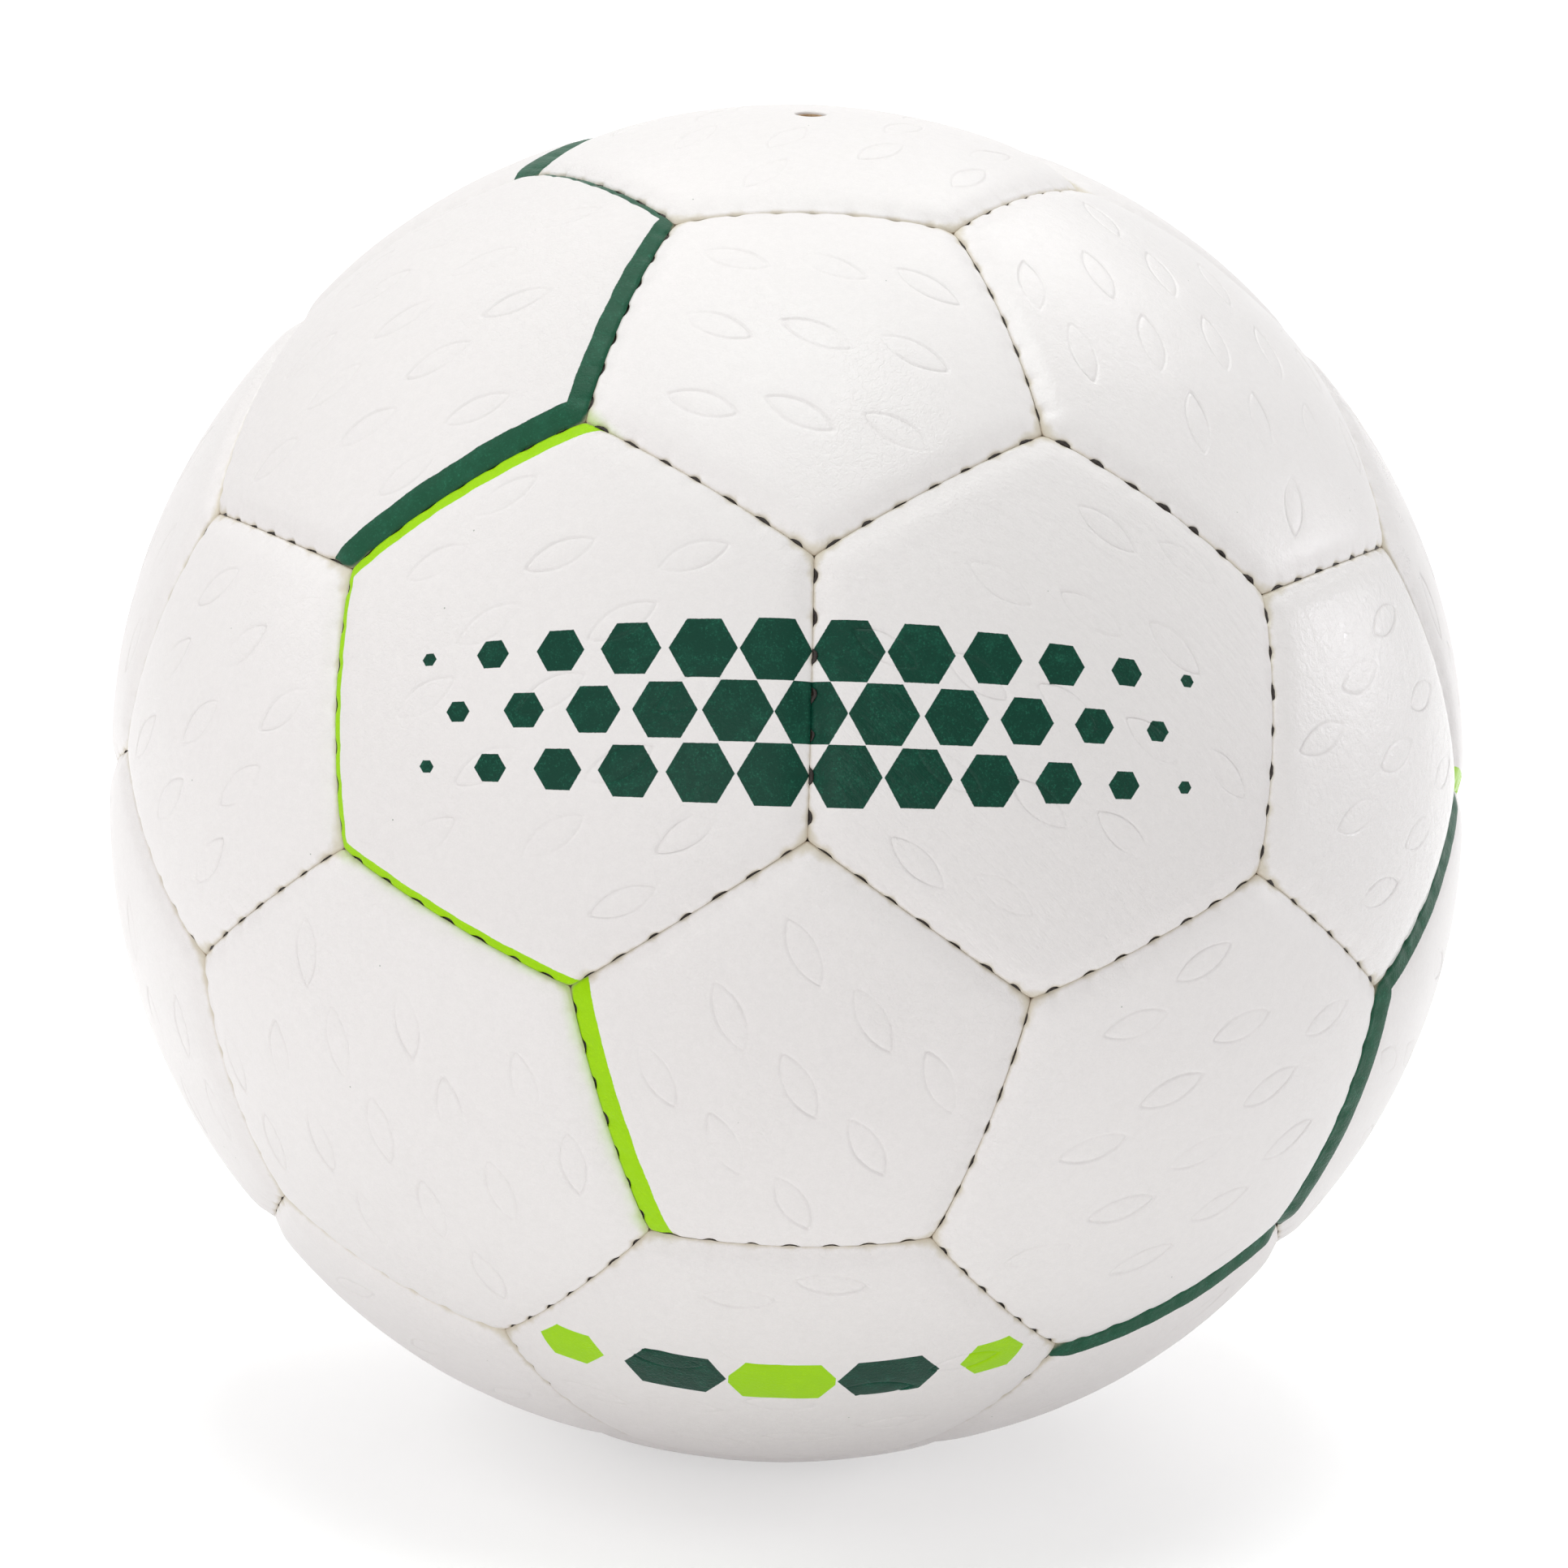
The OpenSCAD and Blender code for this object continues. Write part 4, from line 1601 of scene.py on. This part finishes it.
@dataclass(frozen=True)
class SkinFinish:
    """The coated skin of a panel: fine grained white, with cream seams, painted shade in their creases and whatever
    is printed on it.
    """

    effects: SurfaceEffects
    layout: BallLayout
    white: Colour = rgb(240, 235, 234)
    shade: Colour = rgb(236, 231, 230)
    cream: Colour = rgb(216, 207, 192)
    # Painted shade: the brownish tone laid into the deepest part of every seam's crease.
    crease: Colour = rgb(192, 177, 155)
    speck: Colour = rgb(120, 132, 116)
    printed_gloss: float = 0.14
    plain_streaks: float = 0.03

    def make(self, name: str, panel: str = "", stripes: Sequence[SeamStripe] = (),
             prints: Sequence[HexagonPrint] = (), crinkle: float = 0.0,
             streaks: float = plain_streaks) -> bpy.types.Material:
        """Makes the material of one panel, or of all plain ones.

        Args:
            name: Name of the material.
            panel: The panel that carries the stripes.
            stripes: Its printed stripes.
            prints: Its printed rows of hexagons.
            crinkle: How glossy and crinkled its coat is, from 0 to 1.
            streaks: Height of its slanting wrinkles, in millimetres.

        Returns:
            The material.
        """
        material, graph, shader = new_material(name)
        grain = graph.use(self.effects.leather, {
            "Depth": 0.026 * (1 - 0.65 * crinkle), "Swell": 0.02, "Crinkle": 0.045 * crinkle,
            "Streaks": streaks})
        seam = graph.use(self.effects.seam_cream_and_painted_shade, {"Ball radius": self.layout.sizes.radius / MM})
        specks = graph.use(self.effects.specks, {})["Mask"]
        colour = graph.mix(grain["Mottle"].step(0.35, 0.65), self.white, self.shade)
        colour = graph.mix(specks, colour, self.speck)
        colour = graph.mix(seam["Foot"], colour, self.cream)
        ink = graph.use(self.effects.ink, {"Dots": 0.35}) if stripes or prints else {}
        for stripe in stripes:
            colour = graph.mix(self._stripe(graph, panel, stripe), colour, self._tone(graph, stripe.ink, ink))
        for pattern in prints:
            rows = self._rows(graph, pattern)
            tone = self._tone(graph, pattern.ink, ink)
            if pattern.other_ink is not pattern.ink:
                tone = graph.mix(rows["Other"], tone, self._tone(graph, pattern.other_ink, ink))
            colour = graph.mix(rows["Mask"], colour, tone)
        # Painted shade: the crease colour darkens the deepest part of each seam.
        colour = graph.mix(seam["Crease"], colour, self.crease)
        roughness = grain["Mottle"] * 0.14 + (0.37 - 0.2 * crinkle) - grain["Patches"] * 0.06
        graph.feed(shader.inputs["Base Color"], colour)
        graph.feed(shader.inputs["Roughness"], roughness)
        graph.bump(shader, grain["Height"])
        if prints or any(stripe.strength == 1 for stripe in stripes):
            shader.inputs["Specular IOR Level"].default_value = self.printed_gloss
        return material

    def _tone(self, graph: Graph, ink: Ink, cover: Signals) -> Signal:
        """Returns the colour of an ink with its speckle."""
        full, worn = ink.value
        return graph.mix(cover["Speckle"], full, worn)

    def _stripe(self, graph: Graph, panel: str, stripe: SeamStripe) -> Signal:
        """Lays a printed stripe along a panel's edge.

        Args:
            graph: The material's graph.
            panel: The panel.
            stripe: The stripe.

        Returns:
            Its mask.
        """
        inward, along = self.layout.edge_between(panel, stripe.over)
        return graph.use(self.effects.seam_stripe, {
            "Inward": tuple(inward), "Along": tuple(along), "Start": stripe.start, "End": stripe.end,
            "Start width": stripe.start_width, "End width": stripe.end_width, "Wobble": stripe.wobble,
            "Softness": stripe.softness, "Strength": stripe.strength})["Mask"]

    def _rows(self, graph: Graph, pattern: HexagonPrint) -> Signals:
        """Lays out printed rows of hexagons.

        Args:
            graph: The material's graph.
            pattern: The rows.

        Returns:
            The mask of all hexagons, and that of those in the other ink.
        """
        front, right = towards(pattern.polar, 0.0), np.array([1.0, 0.0, 0.0])
        return graph.use(self.effects.hexagon_rows, {
            "Front": tuple(front), "Right": tuple(right), "Up": tuple(np.cross(right, -front)),
            "Pitch": pattern.pitch, "Row step": pattern.row_step, "Half span": pattern.half_span,
            "Cell size": pattern.cell_size, "Shrink": pattern.shrink, "Rows": pattern.rows})


def new_material(name: str) -> tuple[bpy.types.Material, Graph, bpy.types.Node]:
    """Makes a material with one Principled shader.

    Args:
        name: Name of the material.

    Returns:
        The material, its graph and the shader.
    """
    material = bpy.data.materials.new(name)
    material.use_nodes = True
    graph = Graph(material.node_tree)
    return material, graph, material.node_tree.nodes["Principled BSDF"]


@dataclass(frozen=True)
class ThreadFinish:
    """Waxed near-black thread with a little sheen and fibres that run along the twist."""

    dark: Colour = rgb(26, 19, 16)
    light: Colour = rgb(62, 50, 43)
    fibres_per_mm: float = 7.0
    relief: float = 0.05
    gloss: float = 0.32

    def make(self) -> bpy.types.Material:
        """Makes the material.

        Returns:
            The material.
        """
        material, graph, shader = new_material("waxed thread")
        place = graph.place()
        fibres = graph.noise(place, per_mm=self.fibres_per_mm, detail=3.0, roughness=0.65)
        wax = graph.noise(place, per_mm=1.3)
        graph.feed(shader.inputs["Base Color"], graph.mix(fibres.step(0.45, 0.75), self.dark, self.light))
        graph.feed(shader.inputs["Roughness"], wax * 0.3 + 0.34)
        graph.feed(shader.inputs["Specular IOR Level"], self.gloss)
        graph.bump(shader, fibres * self.relief)
        return material


@dataclass(frozen=True)
class RubberFinish:
    """Moulded rubber: mottled, with fine dust in its pores."""

    name: str
    tone: Colour
    dusty: Colour
    roughness: float

    def make(self, effects: SurfaceEffects) -> bpy.types.Material:
        """Makes the material.

        Args:
            effects: The shared effects.

        Returns:
            The material.
        """
        material, graph, shader = new_material(self.name)
        grain = graph.use(effects.leather, {"Cells per mm": 2.2, "Depth": 0.012, "Swell": 0.02})
        graph.feed(shader.inputs["Base Color"], graph.mix(grain["Mottle"].step(0.35, 0.7), self.tone, self.dusty))
        graph.feed(shader.inputs["Roughness"], grain["Mottle"] * 0.2 + (self.roughness - 0.1))
        graph.bump(shader, grain["Height"])
        return material


@dataclass(frozen=True)
class ClothFinish:
    """Plain woven cotton and polyester cloth."""

    name: str
    tone: Colour
    gap: Colour
    threads_per_mm: float
    relief: float = 0.08
    roughness: float = 0.85

    def make(self, effects: SurfaceEffects) -> bpy.types.Material:
        """Makes the material.

        Args:
            effects: The shared effects.

        Returns:
            The material.
        """
        material, graph, shader = new_material(self.name)
        weave = graph.use(effects.weave, {"Threads per mm": self.threads_per_mm})
        graph.feed(shader.inputs["Base Color"], graph.mix(weave["Gap"], self.tone, self.gap))
        graph.feed(shader.inputs["Roughness"], self.roughness)
        graph.bump(shader, weave["Height"] * self.relief)
        return material


class Handball:
    """The whole ball: its panels, its lacing, and the solids inside it that keep their shape.

    WAVES gives the number and the shortest and longest wavelength, in millimetres, of the panels' swell, their
    ripple, their wrinkles and the marks' wear. CRINKLES and STREAKS say how crinkled a panel's coat is and how
    high its slanting wrinkles are, where they aren't as on plain panels.
    """

    WAVES = ((40, 9, 22), (60, 2.6, 6), (60, 1.3, 2.8), (40, 8, 20))
    WAVE_SEED = 21
    CRINKLES = {"upper_belt_pentagon_1": 1.0, "upper_hexagon_1": 0.45, "upper_belt_hexagon_2": 0.15,
                "lower_belt_hexagon_6": 0.4, "upper_belt_hexagon_3": 0.6}
    STREAKS = {"upper_belt_hexagon_2": 0.19, "lower_belt_hexagon_5": 0.08, "upper_hexagon_1": 0.06}

    def __init__(self) -> None:
        """Sets up the sizes, the layout and the finishes."""
        self.sizes = BallSizes()
        self.mesh = PanelMeshSizes()
        self.layout = BallLayout(self.sizes, StitchSizes())
        self.effects = SurfaceEffects()
        self.skin = SkinFinish(self.effects, self.layout)

    def _stripes(self) -> dict[str, list[SeamStripe]]:
        """Lists the printed stripes.

        Returns:
            The stripes of each panel that has some.
        """
        green, lime = Ink.GREEN, Ink.LIME
        return {
            "upper_hexagon_3": [
                SeamStripe("upper_belt_hexagon_1", green, 3.1, 3.5),
                SeamStripe("upper_pentagon_1", green, 3.0, 2.0),
                SeamStripe("valve_panel", green, 1.3, 1.0),
            ],
            "upper_pentagon_3": [SeamStripe("valve_panel", green, 3.4, 2.6)],
            "upper_belt_hexagon_1": [
                SeamStripe("upper_hexagon_3", lime, 2.6, 1.9),
                SeamStripe("upper_pentagon_1", lime, 0.0, 2.2, start=15.0, end=24.0),
                SeamStripe("upper_belt_pentagon_3", lime, 1.3, 1.3),
                SeamStripe("lower_belt_hexagon_4", lime, 1.4, 1.5),
            ],
            "lower_belt_pentagon_1": [SeamStripe("lower_belt_hexagon_4", lime, 2.9, 3.2)],
            "lower_belt_hexagon_4": [
                SeamStripe("lower_belt_pentagon_1", lime, 0.5, 0.5, wobble=2.4, softness=1.3, strength=0.5),
                SeamStripe("upper_belt_hexagon_1", lime, 0.2, 0.3, wobble=2.0, softness=1.1, strength=0.4),
            ],
            "upper_pentagon_1": [
                SeamStripe("upper_belt_hexagon_1", lime, 2.0, -1.0, start=-21.0, end=-12.0, wobble=1.5, softness=1.6,
                           strength=0.55),
            ],
            "upper_belt_hexagon_3": [SeamStripe("lower_belt_hexagon_6", lime, 2.6, 2.6)],
            "lower_belt_hexagon_6": [
                SeamStripe("upper_belt_pentagon_1", green, 2.6, 2.4),
                SeamStripe("lower_belt_hexagon_5", green, 3.4, 3.3),
            ],
            "lower_pentagon_1": [SeamStripe("lower_belt_hexagon_5", green, 3.2, 2.6)],
        }

    def _prints(self) -> dict[str, list[HexagonPrint]]:
        """Lists the printed rows of hexagons.

        Returns:
            The rows on each panel that has some.
        """
        band = HexagonPrint(polar=BELT_ANGLE, ink=Ink.PINE, other_ink=Ink.PINE, pitch=9.4, row_step=8.14,
                            half_span=52.0, cell_size=4.1, shrink=0.78, rows=1.0)
        row = HexagonPrint(polar=math.pi - 2 * HEXAGON_REACH - 0.07, ink=Ink.LIME, other_ink=Ink.PINE, pitch=14.2,
                           row_step=9.0, half_span=30.0, cell_size=6.6, shrink=0.45, rows=0.0)
        return {"upper_belt_hexagon_1": [band], "upper_belt_hexagon_2": [band], "lower_hexagon_1": [row]}

    def build_panels(self) -> None:
        """Builds the thirty-two panels."""
        random = np.random.default_rng(self.WAVE_SEED)
        waves = [PlaneWaves(random, count, shortest * MM, longest * MM) for count, shortest, longest in self.WAVES]
        marks = MarkSizes()
        templates = {kind: PanelTemplate(kind, self.sizes, self.mesh, marks, False) for kind in PanelKind}
        valve_template = PanelTemplate(PanelKind.HEXAGON, self.sizes, self.mesh, marks, True)
        plain = self.skin.make("white coated skin")
        stripes, prints = self._stripes(), self._prints()
        for name, place in self.layout.places.items():
            template = valve_template if name == "valve_panel" else templates[place.kind]
            material = plain
            if name in stripes or name in prints or name in self.CRINKLES:
                material = self.skin.make(f"coated skin {name}", name, stripes.get(name, ()), prints.get(name, ()),
                                          self.CRINKLES.get(name, 0.0),
                                          self.STREAKS.get(name, self.skin.plain_streaks))
            StitchedPanel(place, template, self.layout).build(material, waves, "panel_skin")

    def build_lacing(self) -> None:
        """Builds the threads of both kinds of seam."""
        threads = SeamThreads(self.layout, ThreadSizes(), self.mesh)
        material = ThreadFinish().make()
        threads.build("hexagon_seam_threads", False, material, "waxed_thread")
        threads.build("pentagon_seam_threads", True, material, "waxed_thread")

    def dress_solids(self) -> None:
        """Gives the solids that keep their shape their finishes."""
        cloth = ClothFinish("backing cloth", rgb(216, 207, 190), rgb(168, 158, 140), 1.6).make(self.effects)
        patch = ClothFinish("patch cloth", rgb(200, 190, 172), rgb(150, 140, 122), 1.1).make(self.effects)
        bladder = RubberFinish("bladder rubber", rgb(48, 48, 50), rgb(84, 84, 84), 0.6).make(self.effects)
        valve = RubberFinish("valve rubber", rgb(150, 118, 82), rgb(188, 160, 122), 0.55).make(self.effects)
        plug = RubberFinish("plug rubber", rgb(132, 104, 70), rgb(160, 132, 96), 0.5).make(self.effects)
        finishes = {"hexagon_backings": (cloth, "backing_cloth"), "pentagon_backings": (cloth, "backing_cloth"),
                    "bladder": (bladder, "bladder_rubber"), "valve_body": (valve, "valve_rubber"),
                    "valve_plug": (plug, "plug_rubber"), "valve_patch": (patch, "patch_cloth")}
        for node, (material, slot) in finishes.items():
            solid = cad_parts[node]
            solid.data.materials.clear()
            solid.data.materials.append(material)
            LOG.info("%s: dressed in %s", node, material.name)


@dataclass(frozen=True)
class Lamp:
    """A soft lamp, by the direction it stands in, its power, its tint, its distance, its width and its height."""

    name: str
    azimuth: float
    elevation: float
    power: float
    tint: Tint = (1.0, 1.0, 1.0)
    distance: float = 1.6
    width: float = 0.9
    height: float = 0.9


@dataclass(frozen=True)
class Studio:
    """A plain white studio: a pale floor, soft lamps and the camera at the photograph's angle."""

    lamps: tuple[Lamp, ...] = (
        Lamp("overhead", 0, 81, 11.7, (0.945, 1.0, 0.985)),
        Lamp("rear right", 145, 52, 5.4),
        Lamp("rear left", -150, 55, 3.2),
        Lamp("left", -92, 35, 5.8),
        Lamp("right", 98, 8, 2.8, (1.0, 1.0, 1.03)),
        Lamp("glint", 113, 12, 2.2, (1.0, 1.0, 1.03), width=0.36, height=0.26),
        Lamp("front", -14, 9, 7.1),
    )
    sky: float = 0.2
    floor_tone: Colour = (0.9, 0.9, 0.9, 1.0)
    floor_roughness: float = 0.9
    floor_half: float = 40.0
    floor_share: float = 0.16
    # Painted bounce light: the share of glow that the floor gives every other ray, which lights the ball from below.
    floor_glow_lighting_ball: float = 0.03
    # Painted shadow: the floor's glow is weaker near the ball and rises to full over the reach, in millimetres from
    # the point under the ball's centre.
    floor_glow_with_painted_shadow: tuple[float, float] = (0.455, 0.97)
    painted_shadow_reach: tuple[float, float] = (60.0, 230.0)
    azimuth: float = -1.841
    elevation: float = 13.72
    roll: float = -2.029
    distance: float = 1.323
    lens: float = 220.0
    shift_x: float = -0.0018
    shift_y: float = 0.0002

    def _facing_ball(self, azimuth: float, elevation: float, distance: float, roll: float = 0.0) -> Matrix:
        """Places something so that it looks at the ball.

        Args:
            azimuth: Its turn from the front, in degrees.
            elevation: Its height above the horizon, in degrees.
            distance: Its distance from the ball's centre, in metres.
            roll: Its turn about its line of sight, in degrees.

        Returns:
            Its place and turn.
        """
        a, e, r = (math.radians(angle) for angle in (azimuth, elevation, roll))
        back = Vector((math.sin(a) * math.cos(e), -math.cos(a) * math.cos(e), math.sin(e)))
        level = Vector((math.cos(a), math.sin(a), 0))
        raised = back.cross(level)
        right = level * math.cos(r) - raised * math.sin(r)
        up = raised * math.cos(r) + level * math.sin(r)
        return Matrix.Translation(back * distance) @ Matrix((right, up, back)).transposed().to_4x4()

    def build_floor(self, ball: BallSizes) -> None:
        """Builds the floor under the ball.

        Args:
            ball: Sizes of the ball that stands on it.
        """
        half = self.floor_half
        corners = [(x, y, 0) for x, y in ((-half, -half), (half, -half), (half, half), (-half, half))]
        mesh = bpy.data.meshes.new("floor")
        mesh.from_pydata(corners, [], [(0, 1, 2, 3)])
        mesh.materials.append(self._floor_material())
        floor = add_object("floor", mesh)
        floor.location.z = -ball.radius

    def _floor_material(self) -> bpy.types.Material:
        """Makes a pale floor that shows white to the camera and keeps the ball's shadow, with a painted shadow where
        its glow is weaker near the ball and a faint glow that lights the ball from below as painted bounce light.

        Returns:
            The material.
        """
        material, graph, shader = new_material("studio floor")
        graph.feed(shader.inputs["Base Color"], self.floor_tone)
        graph.feed(shader.inputs["Roughness"], self.floor_roughness)
        graph.feed(shader.inputs["Specular IOR Level"], 0.0)
        camera, shown = graph.seen()
        # Painted shadow: the glow is dimmer within the reach round the ball.
        near, far = self.floor_glow_with_painted_shadow
        outwards = graph.length(graph.place()).step(*self.painted_shadow_reach)
        glow = graph.node("ShaderNodeEmission", {}, {"Strength": (outwards * (far - near) + near) / self.floor_share})
        # Painted bounce light: for rays that the camera doesn't see straight, the floor still glows a little and
        # lights the ball.
        share = shown * (self.floor_share - self.floor_glow_lighting_ball) + self.floor_glow_lighting_ball
        lifted = graph.blend(share, shader, glow)
        behind = Signal(graph, graph.node("ShaderNodeNewGeometry").outputs["Backfacing"])
        clear = graph.node("ShaderNodeBsdfTransparent")
        surface = graph.blend(behind * camera, lifted, clear)
        output = material.node_tree.nodes["Material Output"]
        graph.feed(output.inputs["Surface"], Signal(graph, surface.outputs[0]))
        return material

    def build_lamps(self) -> None:
        """Builds the lamps and the pale surroundings."""
        for lamp in self.lamps:
            data = bpy.data.lights.new(lamp.name, "AREA")
            data.shape = "RECTANGLE"
            data.size, data.size_y = lamp.width, lamp.height
            data.energy = lamp.power
            data.color = lamp.tint
            light = add_object(lamp.name, data)
            light.matrix_world = self._facing_ball(lamp.azimuth, lamp.elevation, lamp.distance)
        world = bpy.data.worlds.new("white room")
        world.use_nodes = True
        bpy.context.scene.world = world
        graph = Graph(world.node_tree)
        _, shown = graph.seen()
        background = world.node_tree.nodes["Background"]
        graph.feed(background.inputs["Color"], (1, 1, 1, 1))
        graph.feed(background.inputs["Strength"], shown * (1 - self.sky) + self.sky)

    def build_camera(self) -> None:
        """Places the camera."""
        data = bpy.data.cameras.new("camera")
        data.lens = self.lens
        data.sensor_width = 36.0
        data.shift_x, data.shift_y = self.shift_x, self.shift_y
        data.clip_start, data.clip_end = 0.1, 200.0
        camera = add_object("camera", data)
        camera.matrix_world = self._facing_ball(self.azimuth, self.elevation, self.distance, self.roll)
        bpy.context.scene.camera = camera


def main() -> None:
    """Builds the ball and its studio, in order."""
    logging.basicConfig(level=logging.INFO, format="%(name)s: %(message)s")
    ball = Handball()
    ball.build_panels()
    ball.build_lacing()
    ball.dress_solids()
    studio = Studio()
    studio.build_floor(ball.sizes)
    studio.build_lamps()
    studio.build_camera()
    bpy.context.scene.view_settings.view_transform = "Standard"


if __name__ == "__main__":
    main()
